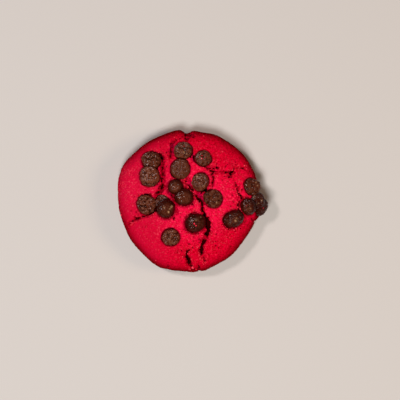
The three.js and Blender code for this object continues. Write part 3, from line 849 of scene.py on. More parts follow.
# %% [markdown]
# ## Break, sink and roughen the skin
#
# Each feature of the surface says how far a point sinks below the smooth skin. A crack sinks its floor and
# leaves steep walls; a pocket lets the dough give way under a drop; patches where the crust has flaked off
# lie a little lower, and show the crumb inside. Before the cracks are sunk the grid is drawn together along
# their lips, so that the edges come out crisp although the cells are larger than a crumb.

# %% Draw the grid together along the lips
NARROWEST = 0.24  # half width of the finest crack that the grid can hold
LIP_BREAKS = [(2.1, 0.36, 30), (1.1, 0.44, 31), (0.6, 0.24, 32)]  # bites out of a lip: size, depth and seed
BITES_FROM, BITES_MORE = 0.5, 0.75  # share of the bites in a hair crack, and more for each mm of half width
GATHER, GATHER_REACH = 0.7, 0.42  # how strongly the grid is drawn to a lip, and from how far away
PULL_EVENLY = 0.05  # mm from the middle of a cut within which the grid is drawn no harder


def from_stretch(points, start, end):
    """The place on a straight stretch that is nearest to each point, as a share of the stretch, and the way
    from that place to the point."""
    run = end - start
    share = np.clip((points - start) @ run / (run @ run), 0, 1)
    return share, points - start - share[:, None] * run


def nearest_on(groove, points):
    """For every point the nearest place on a groove's path: how far it is, which way, and the half width on
    that side and the depth there."""
    away = np.full(len(points), np.inf)
    offset = np.zeros_like(points)
    half = np.zeros(len(points))
    depth = np.zeros(len(points))
    for k, (start, end) in enumerate(zip(groove.point, groove.point[1:])):
        share, here = from_stretch(points, start, end)
        distance = np.linalg.norm(here, axis=1)
        to_right = here @ np.cross(end - start, groove.normal[k]) > 0
        blended = [w[k] * (1 - share) + w[k + 1] * share for w in (groove.left, groove.right, groove.depth)]
        nearer = distance < away
        away = np.where(nearer, distance, away)
        offset = np.where(nearer[:, None], here, offset)
        half = np.where(nearer, np.where(to_right, blended[1], blended[0]), half)
        depth = np.where(nearer, blended[2], depth)
    return away, offset, np.maximum(groove.crumbled * half, NARROWEST), depth


def from_lip(groove, away, half, bites):
    """How far outside a cut's bitten lip each point lies, below zero inside it."""
    return away - half + groove.bitten * bites * (BITES_FROM + BITES_MORE * half)


points, normals = skin(grid_along, grid_angle)
for groove in grooves:
    away, offset, half, _ = nearest_on(groove, points)
    lip = from_lip(groove, away, half, layered(points, LIP_BREAKS))
    pull = GATHER * lip * np.exp(-((lip / GATHER_REACH) ** 2)) / np.maximum(away, PULL_EVENLY)
    points -= offset * pull[:, None]
skin_points = points.copy()
drawn_by = np.linalg.norm(points - skin(grid_along, grid_angle)[0], axis=1)
print("the grid was drawn together by up to", drawn_by.max().round(2), "mm")

# %% Sink the cuts
WALL = 0.46  # width of a crack's wall, as a share of its half width
UNFILLED = (-0.1, 0.45)  # values of the fills' noise below which a crack is filled and above which open
BRIDGE_INNER = 0.6  # share of its radius within which a bridge is whole
LIP_ROLL, LIP_SPREAD = 0.7, 1  # how far the crust rolls down into a crack, and how far out the roll goes
STEP_DOWN, STEP_OUT = 0.5, 0.35  # depth of the broken step beside a crack, and how far it goes out
STEP_BREAKS = [(1.7, 0.55, 33), (0.8, 0.3, 34)]  # bites out of its edge
STEP_WALL = 0.12  # half the width of its wall

bites = layered(points, LIP_BREAKS)
unfilled = ramp(humps(points, FILL_SIZE, FILL_SEED), *UNFILLED)
bridged = in_marks(points, BRIDGES, BRIDGE_INNER, bites)
sunk = np.zeros(len(points))
rolled = np.zeros(len(points))
to_crack = np.full(len(points), np.inf)
for groove in grooves:
    away, _, half, depth = nearest_on(groove, points)
    lip = from_lip(groove, away, half, bites)
    depth *= (groove.open + (1 - groove.open) * unfilled) * (1 - (1 - BRIDGE_LEFT) * bridged)
    sunk = np.maximum(sunk, depth * ramp(lip, 0, -WALL * half))
    if groove.rolls:
        rolled = np.maximum(rolled, LIP_ROLL * np.exp(-np.maximum(lip, 0) / LIP_SPREAD))
        to_crack = np.minimum(to_crack, lip)
stepped = STEP_DOWN * ramp(to_crack - STEP_OUT + layered(points, STEP_BREAKS), STEP_WALL, -STEP_WALL)
print("deepest crack:", sunk.max().round(2), "mm;", int((sunk > 0).sum()), "points are sunk")

# %% Flake off the crust in patches
# Where the crumb shows, in some patches also as painted shade beside the cracks and right of drop 12:
# ends of each patch in the picture, half width in pixels, and depth in millimetres.
CRUMB_PATCHES = [
    ((201.5, 205), (203.4, 214), 1.8, 0.5), ((204.6, 217), (204.8, 233), 2.4, 0.6),
    ((202, 240), (202.6, 253), 2, 0.5), ((162.2, 158), (163.2, 181), 3.1, 0.7),
    ((162.5, 187), (157.5, 196), 3.6, 0.9), ((173, 141), (171, 157), 2.6, 0.6),
    ((187.5, 179), (193, 188), 2.2, 0.6), ((197, 191.5), (203.5, 203), 2.2, 0.9),
    ((175.6, 203), (177.2, 214), 1.9, 0.6), ((169.5, 192.5), (174.6, 201), 1.3, 0.6),
    ((206, 167), (218, 168.5), 2, 0.5), ((222, 172), (233, 172.5), 2.2, 0.7),
    ((228.5, 175.5), (230.5, 176.5), 1.6, 0.9), ((239, 198.5), (245, 200), 1.6, 0.5),
    ((186, 256), (190, 265), 2.4, 0.6), ((213.4, 170), (212.4, 186), 1.6, 0.5),
    ((192, 153.5), (193.6, 161), 1.5, 0.6), ((187, 133), (193, 135), 2.4, 1.1),
    ((150, 213.5), (134, 220), 1.4, 0.4), ((204.5, 188.5), (201, 193), 1.6, 0.6),
]
PATCH_EDGE = 0.55  # width of a patch's broken edge
PATCH_BITES = [(2.6, 0.45, 41), (1.1, 0.35, 42), (0.7, 0.25, 44)]
PATCH_UP = 0.3  # the crust flakes only where it looks up by more than this


def patch_depth(points, start, end, half, depth):
    """A flaked patch: everything nearer to a line than its half width, with bites out of its edge."""
    _, offset = from_stretch(points[:, :2], from_picture(start), from_picture(end))
    edge = np.linalg.norm(offset, axis=1) - half * MM_PER_PIXEL + layered(points, PATCH_BITES)
    return depth * ramp(edge, PATCH_EDGE / 2, -PATCH_EDGE / 2) * (normals[:, 2] > PATCH_UP)


patches = np.zeros(len(points))
for patch in CRUMB_PATCHES:
    patches = np.maximum(patches, patch_depth(points, *patch))
sunk += patches
print("flaked patches cover", int((patches > 0).sum()), "points")

# %% Give way under the drops
SEAM = {"flat": 0.85, "dome": 0.35}  # widest gap between a drop and the crust
SEAM_SIZE, SEAM_SEED = 2.4, 43  # length over which the gap opens and closes
SEAM_OPENS = (-0.45, 0.5)  # values of its noise between which the gap opens
SEAM_WALL = 0.35  # width of the gap's wall
DROP_SHADE_REACH = {"flat": 1.2, "dome": 2}  # how far out the ring of painted shade round a drop ends
DROP_SHADE_FULL, DROP_SHADE_RAGGED = 0.2, 0.3  # how far out it begins to fade, and how ragged it is
POCKET_DEEPEST, POCKET_STEP = 7, 0.2  # the way down to a drop's underside is felt for in steps
POCKET_OVERLAP = 0.25  # the drop lies this far in the dough's skin, so that no slit shows

pockets = np.zeros(len(points))
seam_share = ramp(humps(points, SEAM_SIZE, SEAM_SEED), *SEAM_OPENS)
stained = np.zeros(len(points))
for drop in drops:
    out = within(drop, points)
    # Painted shade in a ragged ring round each drop.
    ring = (out - 1) * drop.radius + DROP_SHADE_RAGGED * bites
    stained = np.maximum(stained, ramp(ring, DROP_SHADE_REACH[drop.form], DROP_SHADE_FULL))
    seam = SEAM[drop.form] * seam_share
    grown = 1 + SEAM[drop.form] / drop.radius
    near = out < grown
    leave = np.zeros(int(near.sum()))
    for step in np.arange(0, POCKET_DEEPEST, POCKET_STEP):
        inside = within(drop, points[near] - step * normals[near]) < grown
        leave = np.where(inside, step, leave)
    gap = (out[near] - 1) * drop.radius
    wall = ramp(gap, seam[near], seam[near] - SEAM_WALL)
    pockets[near] = np.maximum(pockets[near], (leave - POCKET_OVERLAP) * wall)
print("pockets reach down", pockets.max().round(2), "mm")

# %% Tear the far corner
TORN_CORNER = [  # its outline in the picture
    (183.2, 126), (198.6, 126), (196, 132.6), (191.8, 137), (187.4, 141.6), (184.6, 139.5),
]
TORN_FLOOR = 11.2  # height of its floor at the foot of the left wall
TORN_RISE = (0.8, 0.4)  # how steeply the floor rises to the right and inwards
TORN_LUMPS = [(1.8, 0.8, 51), (0.9, 0.45, 52)]
TORN_WALL = 0.45  # width of the walls round it
TORN_RAGGED = 1.6  # how much deeper its edge is bitten than a crack's lip
TORN_FROM = 0.5  # mm to the right of the left wall's foot, where the floor has its height
TORN_TOWARDS = math.pi / 2  # the direction of the far corner


def inside_outline(points, outline):
    """Signed distance in plan to a closed outline, below zero inside it: the distance to the nearest edge,
    with its sign from how often a line to the right crosses the edges."""
    to_edge = np.full(len(points), np.inf)
    crossings = np.zeros(len(points), int)
    for start, end in zip(outline, np.roll(outline, -1, 0)):
        run = end - start
        to_edge = np.minimum(to_edge, np.linalg.norm(from_stretch(points, start, end)[1], axis=1))
        spans = (start[1] > points[:, 1]) != (end[1] > points[:, 1])
        at = start[0] + (points[:, 1] - start[1]) * run[0] / (run[1] if run[1] else np.inf)
        crossings += spans & (points[:, 0] < at)
    return np.where(crossings % 2 == 1, -to_edge, to_edge)


torn_outline = from_picture(TORN_CORNER)
torn_edge = inside_outline(points[:, :2], torn_outline) + TORN_RAGGED * bites
from_wall = points[:, 0] - torn_outline[0, 0] - TORN_FROM
inwards = rim_radius(TORN_TOWARDS) - np.hypot(points[:, 0], points[:, 1])
floor_up = TORN_FLOOR + TORN_RISE[0] * from_wall + TORN_RISE[1] * inwards
floor_up += layered(points, TORN_LUMPS)
torn_share = ramp(torn_edge, 0, -TORN_WALL) * (points[:, 2] > floor_up)
print("the torn corner takes", int((torn_share > 0).sum()), "points")

# %% Set the skin back by all that sinks it
INSET = 0.17  # the skin starts this far inside the solid, so that its grain stays within it
CRUMB_SHOWS = (0.15, 0.8)  # depth below the skin between which the crust gives way to crumb

surface = points - normals * (INSET + np.maximum(sunk, rolled + stepped) + pockets)[:, None]
surface[:, 2] -= torn_share * np.maximum(surface[:, 2] - floor_up, 0)
depth_in = np.linalg.norm(surface - points, axis=1) - INSET
crumb = ramp(np.maximum(sunk, torn_share * depth_in), *CRUMB_SHOWS)
print("the crumb shows at", int((crumb > 0).sum()), "points")

# %% Humps, sand, and lumps where the crust is broken
HUMP_LAYERS = [(9, 0.2, 61), (3.6, 0.2, 62)]  # size in mm, height in mm, and seed, as in every such row
SAND = [(1.15, 0.11, 63), (0.62, 0.08, 64)]
SMOOTH_TO, BROKEN_FROM = -20, -7  # the crust is smooth left of the first place and broken right of the second
CRAG_LAYERS = [(2.6, 0.26, 71), (1.5, 0.2, 72)]  # lumps of the broken crust
CRAG_REACH = 5  # how far from a crack they go even where the crust is smooth
CRAG_UP = (0.3, 0.7)  # the upward part of the normal at which they begin and are full
RAW_SIZE, RAW_HEIGHT, RAW_SEED = 0.9, 0.45, 65  # roughness of the crumb where it shows

relief = layered(skin_points, HUMP_LAYERS + SAND)
broken = np.maximum(ramp(skin_points[:, 0], SMOOTH_TO, BROKEN_FROM), ramp(to_crack, CRAG_REACH, 0))
broken *= ramp(normals[:, 2], *CRAG_UP)
relief += broken * layered(skin_points, CRAG_LAYERS)
relief += crumb * RAW_HEIGHT * humps(surface, RAW_SIZE, RAW_SEED)
print("humps and lumps go from", relief.min().round(2), "to", relief.max().round(2), "mm")

# %% Pores and chips, and how far the grain may rise
PORE_SIZE, PORE_DEPTH, PORE_SEED = 2.2, 0.9, 66  # pores of the crust: how far apart and how deep
PORE_EDGE = (0.3, 0.16)  # where a pore begins and is full, as shares of their distance
PORE_REACH = (7, 2)  # how far from a crack the last pores are, and from where on they are full
PORE_FIELD, PORE_FIELD_EDGE = (4, 67), (-0.2, 0.3)  # size and seed of the fields of pores, and their edges
CHIP_SIZE, CHIP_DEPTH, CHIP_SEED = 1.9, 0.35, 73  # small chips out of the side
CHIP_EDGE, CHIP_UP = (0.15, 0.6), (0.6, 0.3)  # the noise, and the upward part of the normal, that they need
GRAIN_SPARE = 0.03  # mm kept free between the grain and the solid
TOP_SPARE, TOP_SPARE_UP = 0.6, (0.45, 0.75)  # the grain may rise this much further on top

pore = ramp(pebbles(skin_points, PORE_SIZE, PORE_SEED), *PORE_EDGE) * ramp(to_crack, *PORE_REACH)
pore *= ramp(humps(skin_points, *PORE_FIELD), *PORE_FIELD_EDGE) * (1 - crumb)
relief -= PORE_DEPTH * pore
chipped = ramp(humps(skin_points, CHIP_SIZE, CHIP_SEED), *CHIP_EDGE) * ramp(normals[:, 2], *CHIP_UP)
relief -= CHIP_DEPTH * chipped
relief = np.minimum(relief, INSET - GRAIN_SPARE + TOP_SPARE * ramp(normals[:, 2], *TOP_SPARE_UP))
surface += normals * relief[:, None]
surface[:, 2] = np.maximum(surface[:, 2], 0)
print("the grain goes from", relief.min().round(2), "to", relief.max().round(2), "mm")

# %% Close the underside
BASE_DIMPLE = 0.1  # how far the base stands off the table in places
DIMPLES, DIMPLE_EDGE = (4, 68), (0, 0.8)  # size and seed of these places, and the edge of each

foot_ring = surface[-AROUND:]
inward = 1 - np.arange(1, BASE_RINGS + 1)[:, None, None] / (BASE_RINGS + 1)
under = (foot_ring[None] * inward).reshape(-1, 3)
under[:, 2] = BASE_DIMPLE * ramp(humps(under, *DIMPLES), *DIMPLE_EDGE)
dough_points = np.vstack([surface, under, [[0, 0, 0]]])
print(len(under), "points lie under the cookie")

# %% Mark where the dough's colour changes
SHOULDER_SHADE_UP = (0.97, 0.3)  # upward part of the normal between which painted shade darkens the shoulder
GLINT_UP, GLINT_SPARED = (0.8, 0.97), 0.5  # the same for pale specks, painted as glints where the crust faces up, and how much fewer lie where the rim is shaded
WEST_AT, WEST_SPREAD = 168, 24  # degrees: the side of the rim that faces the window
WEST_SPARED = 0.7  # how much less painted shade its shoulder gets
EAST_AT, EAST_SPREAD, EAST_SPARED = 6, 24, 0.6  # the same for the far right, where less painted shade falls on the rim
RIM_SHADE_FROM = (14, 28)  # mm from the middle: painted shade darkens the red between these places
DULL_AND_SHADED_FROM = (-24, 2)  # mm: the crust turns from a sandier, duller red under painted shade to vivid between these places
BROWNED_UP = (2.6, 0.2)  # mm over the table between which the foot is browned
# Where the torn crumb is more magenta: picture place and radius in pixels.
COOL_PLACES = [(173.2, 149, 8), (194, 158, 5), (201, 197, 6), (170.5, 192, 4), (191, 183, 4)]
COOL_INNER, COOL_RAGGED = 0.5, 2  # share of the radius within which it is full, and how ragged the edge is

west, east = bell(grid_angle, WEST_AT, WEST_SPREAD), bell(grid_angle, EAST_AT, EAST_SPREAD)
# Painted shade darkens the red towards the rim, less on the side that faces the window and on the far right.
deep = ramp(np.hypot(skin_points[:, 0], skin_points[:, 1]), *RIM_SHADE_FROM) * (1 - west - EAST_SPARED * east)
# Pale specks gather as painted glints where the crust faces up and towards the window, fewer where the rim is
# shaded.
pale = np.clip(ramp(normals[:, 2], *GLINT_UP) + west, 0, 1) * (1 - GLINT_SPARED * deep)
top_marks = {
    "crumb": crumb, "depth": depth_in, "pore": pore, "stained": stained, "deep": deep, "pale": pale,
    # painted shade on the shoulder, spared on the side facing the window
    "shoulder": ramp(normals[:, 2], *SHOULDER_SHADE_UP) * (1 - WEST_SPARED * west),
    # painted shade on the left half, which is also a sandier, duller red
    "dull_and_shaded": 1 - ramp(skin_points[:, 0], *DULL_AND_SHADED_FROM),
    "cool": in_marks(skin_points, COOL_PLACES, COOL_INNER, COOL_RAGGED * bites),
    "browned": ramp(surface[:, 2], *BROWNED_UP),
}
print("marks, and how many points they reach:")
print({label: int((values > 0).sum()) for label, values in top_marks.items()})

# %% Make the dough a piece
UNDERSIDE_MARKS = ("shoulder", "deep", "browned")  # the marks that hold all over the underside

marks = {
    label: np.concatenate([values, np.full(len(under) + 1, float(label in UNDERSIDE_MARKS))])
    for label, values in top_marks.items()
}
dough = make_piece("dough_crust", dough_points, [top_faces, ring_faces, base_fan], marks)
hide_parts("dough")
dough_box = np.array([dough_points.min(0), dough_points.max(0)]) + shift
print("dough in mm:", dough_box.round(2).tolist())

# %% [markdown]
# ## Put the drops on
#
# The drops' meshes are ready, so each becomes a piece that takes the place of its plain solid. Small tan
# spots, painted highlights of the warm lamp on rough facets, with a caramel streak on drop 1, are an
# attribute too.

# %% Pieces for the drops
# Tan spots, painted highlights of the warm lamp with a caramel streak on drop 1: picture place, radius in
# pixels and strength.
TAN_GLINT_SPOTS = [
    (184.4, 152.7, 1.3, 0.9), (186.8, 154, 1.1, 0.8), (145, 178.2, 1.1, 1), (151, 177.3, 1, 1),
    (171.8, 206.5, 1.6, 1), (168.8, 211.9, 1.4, 1), (170.2, 209, 1.2, 0.6), (235.5, 220.5, 1.5, 0.9),
    (236.3, 218, 1.1, 0.6), (254.2, 197, 1.6, 0.8), (261.3, 200.2, 1.3, 0.7), (256.5, 204.3, 0.8, 0.9),
    (258.5, 203.3, 0.8, 0.9), (216.4, 202.6, 1, 0.8), (255.9, 182.6, 1, 0.8), (257.4, 185.6, 1, 0.7),
    (197.2, 176.6, 1.8, 0.5), (204, 186.4, 1.2, 0.5), (149.8, 160.9, 1, 0.5), (250, 208.5, 1.2, 0.4),
    (196.5, 219.8, 1.6, 0.4), (201, 216.8, 1, 0.5), (164.5, 207.9, 1.8, 0.4),
]

FLANK_UP = {"flat": (0.4, 0.75), "dome": (0.72, 1)}  # where a drop's flank ends, as shares of its height
FLANK_DARK = {"flat": 0.35, "dome": 1}  # how much painted shade darkens the flank
SHADED_SIDE = np.array([0.5, 0.87, 0])  # the side of a cap that gets painted shade, turned from the light
SHADED_SIDE_DARK, SHADED_SIDE_FROM = 0.92, (0.05, 0.75)  # how dark this painted shade is, and how far out it begins and is full
SPOT_ENDS, SPOT_FULL = 1.2, 0.3  # shares of a spot's radius at which it ends and is full
SPOT_GRAIN, SPOT_GAPS = (0.8, 70), (-0.35, 0.25)  # size and seed of the grain that breaks it up, and where
CONTACT_CREASED = 0.8  # how dark the painted shade beside an upper drop is, as a share of a crease's

for drop in drops:
    spots = np.zeros(len(drop.points))
    for x, y, radius, strength in TAN_GLINT_SPOTS:
        spot = ramp(pixels_away(drop.points, x, y), SPOT_ENDS * radius, SPOT_FULL * radius)
        spots = np.maximum(spots, strength * spot)
    spots *= (drop.up > 0.5) * ramp(humps(drop.points, *SPOT_GRAIN), *SPOT_GAPS)
    satin = np.full(len(drop.points), drop.skin.satin)
    # Painted shade: the flank darkens, as do the far side of a cap and the line beside an upper drop; a
    # drop's own darkness is its tone.
    flank = 1 - ramp(drop.up, *FLANK_UP[drop.form])
    dark = np.maximum(drop.dark + (1 - drop.dark) * FLANK_DARK[drop.form] * flank, drop.contact)
    if drop.form == "dome":
        # Painted shade on the side of a cap turned from the light.
        shaded_side = (drop.points - drop.middle) @ SHADED_SIDE / drop.radius
        dark = np.maximum(dark, SHADED_SIDE_DARK * ramp(shaded_side, *SHADED_SIDE_FROM))
    creased = np.maximum(drop.creased, CONTACT_CREASED * drop.contact)
    marks = {"creased": creased, "lump": drop.lump, "tan_glint": spots, "satin": satin, "dark": dark}
    drop.piece = make_piece(f"chocolate_{drop.number:02d}", drop.points, drop_faces, marks)
    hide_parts(f"drop_{drop.number:02d}")

# %% [markdown]
# ## Crumbs
#
# Dry dough sheds crumbs: sandy grains all over the top, larger ones where the crust broke, and a few that
# were carried onto the chocolate. A particle system would be lost in an export, so each kind is one joined
# mesh. A crumb is a twenty-sided stone whose corners move in and out at random.

# %% The form of a crumb, and many of them in one mesh
CRUMB_SQUASH = (0.72, 1.2)  # the range of a crumb's corners and of its three widths

stone = bmesh.new()
bmesh.ops.create_icosphere(stone, subdivisions=1, radius=0.5)
stone_corners = np.array([v.co for v in stone.verts])
stone_faces = np.array([[v.index for v in f.verts] for f in stone.faces])
stone.free()


def random_turns(count, rng):
    """Turns in every direction: unit four-part numbers, each written out as a 3 by 3 matrix."""
    parts = rng.normal(size=(4, count))
    w, x, y, z = parts / np.linalg.norm(parts, axis=0)
    return np.array([
        [1 - 2 * (y * y + z * z), 2 * (x * y - w * z), 2 * (x * z + w * y)],
        [2 * (x * y + w * z), 1 - 2 * (x * x + z * z), 2 * (y * z - w * x)],
        [2 * (x * z - w * y), 2 * (y * z + w * x), 1 - 2 * (x * x + y * y)],
    ]).transpose(2, 0, 1)


def crumbs(name, centres, sizes, seed, shades):
    """One mesh of many crumbs: each stone is stretched, roughened, turned and set on its centre. Its shade is
    drawn between two shares, from the darkest, which is painted shade on crumbs down in the cracks, to the
    palest grain."""
    rng = np.random.default_rng(seed)
    count = len(centres)
    widths = rng.uniform(*CRUMB_SQUASH, (count, 1, 3)) * sizes[:, None, None]
    corners = stone_corners * widths * rng.uniform(*CRUMB_SQUASH, (count, len(stone_corners), 1))
    corners = corners @ random_turns(count, rng) + centres[:, None]
    faces = stone_faces + len(stone_corners) * np.arange(count)[:, None, None]
    shade = np.repeat(rng.uniform(*shades, count), len(stone_corners))
    return make_piece(name, corners.reshape(-1, 3), [faces.reshape(-1, 3)], {"shade": shade})


print("a crumb has", len(stone_corners), "corners and", len(stone_faces), "faces")

# %% Scatter crumbs over the dough
CRUMB_SEED = 7
LEVEL_ENOUGH = 0.42  # crumbs lie where the upward part of the normal is more than this
UNBROKEN, UNSUNK = 0.2, 0.05  # share of crumb, and mm of depth, up to which the crust counts as whole
ON_LIP = 0.3  # share of the full roll from which a point belongs to a lip
WALL_DEPTHS = (0.35, 2.4)  # depths between which crumbs cling to a crack's wall
WALL_TO_LIP = 0.1  # how far outside the lip they may still cling
OFF_DROP, OFF_DROP_UP = 1.04, 0.2  # how far out of a drop they stay, as a share, when lifted by so many mm
WALL_OFF_DROP = 1.1  # the same on a wall, where none is lifted

rng = np.random.default_rng(CRUMB_SEED)


def scatter(name, where, count, sizes, lift, seed, shades):
    """Strews crumbs over points of the dough where a mask holds. Each is lifted along the normal by a share
    of its width, and its palest shade may differ from point to point."""
    at = rng.choice(np.flatnonzero(where), count, replace=False)
    widths = rng.uniform(*sizes, count)
    centres = surface[at] + lift * widths[:, None] * normals[at]
    darkest, palest = shades
    return crumbs(name, centres, widths, seed, (darkest, np.broadcast_to(palest, len(surface))[at]))


free = np.ones(len(surface), bool)
on_wall = (sunk > WALL_DEPTHS[0]) & (sunk < WALL_DEPTHS[1]) & (to_crack < WALL_TO_LIP) & (pockets < UNSUNK)
for drop in drops:
    free &= within(drop, surface + OFF_DROP_UP * normals) > OFF_DROP
    on_wall &= within(drop, surface) > WALL_OFF_DROP
bare = free & (crumb < UNBROKEN) & (pockets < UNSUNK) & (normals[:, 2] > LEVEL_ENOUGH)
beside_crack = bare & (rolled > ON_LIP * LIP_ROLL) & (sunk < UNSUNK)
loose = [  # name, where, how many, range of widths in mm, lift, seed, and range of shades
    # the sandy grains grow paler with the painted glints of the crust
    scatter("crumbs_sandy", bare, 2600, (0.26, 0.54), 0.1, 8, (0.35, 0.35 + 0.6 * pale)),
    scatter("crumbs_lips", beside_crack, 300, (0.5, 1.05), 0.12, 9, (0.3, 0.9)),
    # the crumbs on the walls are dark, as painted shade inside the cracks
    scatter("crumbs_walls", on_wall, 260, (0.45, 1.05), 0.1, 11, (0, 0.35)),
]

# %% Crumbs carried onto the drops, and single large ones
# Picture place and width in pixels.
CRUMBS_ON_DROPS = {
    1: [(183.4, 146.1, 1.1)],
    2: [(201.6, 158.9, 1.9), (201.9, 156, 1.4), (204.3, 157.3, 1.1), (199.5, 157, 1)],
    9: [(206.4, 204.8, 1.4)],
    13: [(193.4, 223.5, 2.3), (195.6, 226.2, 2), (194.3, 224.9, 1.2)],
    17: [(245.2, 206, 0.9)],
    19: [(263.4, 207.8, 1.1)],
}
LARGE_CRUMBS = [
    (203.4, 136.2, 2), (217.6, 176.5, 2), (121.6, 214.9, 2), (156.2, 260.2, 1.7), (192.8, 266.9, 3.6),
    (239.5, 194.4, 1.6), (158.6, 142.2, 1.5), (130.5, 171.2, 1.3), (222.4, 151.8, 1.4), (210.6, 139.4, 1.3),
]

CARRIED_WITHIN = 0.93  # pixels within which the highest point of a drop takes a crumb
LARGE_LIFT = 0.15  # how far a large crumb is lifted, as a share of its width

centres, widths = [], []
for drop_number, carried in CRUMBS_ON_DROPS.items():
    cloud = drops[drop_number - 1].points
    for x, y, width in carried:
        close = cloud[pixels_away(cloud, x, y) < CARRIED_WITHIN]
        centres.append(close[close[:, 2].argmax()])
        widths.append(width * MM_PER_PIXEL)
for x, y, width in LARGE_CRUMBS:
    spot = pixels_away(surface[: on_square.size], x, y).argmin()
    centres.append(surface[spot] + LARGE_LIFT * width * MM_PER_PIXEL * normals[spot])
    widths.append(width * MM_PER_PIXEL)
loose.append(crumbs("crumbs_single", np.array(centres), np.array(widths), 10, (0.5, 1)))

# %% [markdown]
# ## Nodes and colours
#
# The materials are node trees. Colours are picked as sRGB hex values, as on a colour picker, and one function
# turns them to the linear values that the renderer adds up. One small function adds a node: it sets the
# node's own settings, and its sockets from plain values or from other nodes' outputs.

# %% Helpers for materials


def linear(hex_colour):
    """sRGB hex to linear light: c / 12.92 below 0.04045, and ((c + 0.055) / 1.055)^2.4 above it."""
    parts = [int(hex_colour[i : i + 2], 16) / 255 for i in (1, 3, 5)]
    return [c / 12.92 if c <= 0.04045 else ((c + 0.055) / 1.055) ** 2.4 for c in parts] + [1]


def add_node(tree, kind, settings, sockets):
    """Adds a node of a kind, with its settings, and fills its sockets by identifier or name."""
    node = tree.nodes.new(kind)
    for name, value in settings.items():
        setattr(node, name, value)
    for name, value in sockets.items():
        socket = next(s for s in node.inputs if name in (s.identifier, s.name))
        if isinstance(value, bpy.types.NodeSocket):
            tree.links.new(value, socket)
        else:
            socket.default_value = value
    return node


def new_material(name):
    """An empty node material."""
    material = bpy.data.materials.new(name)
    material.use_nodes = True
    tree = material.node_tree
    tree.nodes.clear()
    return material, tree


# %% Colours laid over each other


def share_of(tree, by, low=0, high=1, most=1):
    """How far a value has come from low to high, as a share that ends at most. The value is a node's output,
    or the name of a number that the mesh's points carry."""
    if isinstance(by, str):
        by = add_node(tree, "ShaderNodeAttribute", {"attribute_name": by}, {}).outputs["Fac"]
    sockets = {"Value": by, "From Min": low, "From Max": high, "To Max": most}
    return add_node(tree, "ShaderNodeMapRange", {}, sockets).outputs[0]


def coat(tree, under, over, by, low=0, high=1, most=1):
    """Lays one colour over another: under times (1 - share) plus over times share."""
    sockets = {"Factor_Float": share_of(tree, by, low, high, most), "A_Color": under, "B_Color": over}
    return add_node(tree, "ShaderNodeMix", {"data_type": "RGBA"}, sockets).outputs[2]


def patterns(tree, sizes):
    """Noise on the piece's own coordinates, one pattern for each row: size in mm, detail, roughness and
    distortion. Object coordinates are in metres, so the scale is one over the size in metres."""
    at = add_node(tree, "ShaderNodeTexCoord", {}, {}).outputs["Object"]
    made = {}
    for name, (size, detail, rough, bent) in sizes.items():
        sockets = {"Vector": at, "Scale": 1 / (size * MM), "Detail": detail, "Roughness": rough}
        noise = add_node(tree, "ShaderNodeTexNoise", {}, {**sockets, "Distortion": bent})
        made[name] = noise.outputs[0]
    return made


# %% [markdown]
# ## The baked crust
#
# The dough is a soft biscuit crumb with a strong red colour, as beetroot or a food colour gives. Its surface
# is dry and floury, so it has almost no mirror reflection, and its red stays deep even in the light. The eye
# sees a sandy mottling of about a millimetre and pale specks of sugar and flour, painted as glints where the
# crust faces up and towards the window. Painted shade darkens the left half, which is also a sandier, duller
# red, the rim and shoulder away from the window, a ring round each drop, and the pores. Where the crust has
# broken, the crumb is darker and in places more magenta; some of these patches, and the near black deep in
# the cracks, are painted shade. The underside is browned by the tray.

# %% Crust material
RED_DARK, RED_LIGHT = linear("#BC0424"), linear("#F20F48")
# Painted shade round the rim, mottled like the rest of the crust.
RIM_SHADE_DARK, RIM_SHADE_LIGHT = linear("#A2000E"), linear("#DA002E")
# The first is a duller red that also paints shade on the left; the second paints pale specks and glints; the
# third is a magenta tint.
RED_DULL_AND_SHADED, RED_PALE_GLINT, RED_COOL = linear("#BC0A30"), linear("#F2566A"), linear("#C80038")
# Painted shade on the shoulder, and in the ring round each drop.
RED_SHOULDER_SHADE, RED_DROP_SHADE = linear("#7C0008"), linear("#5C0006")
CRUMB_RED, CRUMB_COOL = linear("#C20028"), linear("#B8003A")
# The first is the crumb's dark tone and also the painted shade in the pores; the second is painted shade deep
# in the cracks.
CRUMB_DARK_AND_PORE_SHADE, CRACK_SHADE = linear("#520005"), linear("#380000")
BROWNED = linear("#5E0C12")
CRUST_PATTERNS = {
    "patches": (9, 3, 0.5, 0),  # broad patches of duller red
    "mottle": (0.85, 2, 0.6, 0),  # sandy mottling
    "specks": (0.9, 1, 0.5, 0.4),  # pale specks
    "grit": (0.5, 2, 0.5, 0),  # the finest grit, only as bump
}
MOTTLED = (0.34, 0.64)  # the mottle goes from its dark to its light colour between these values

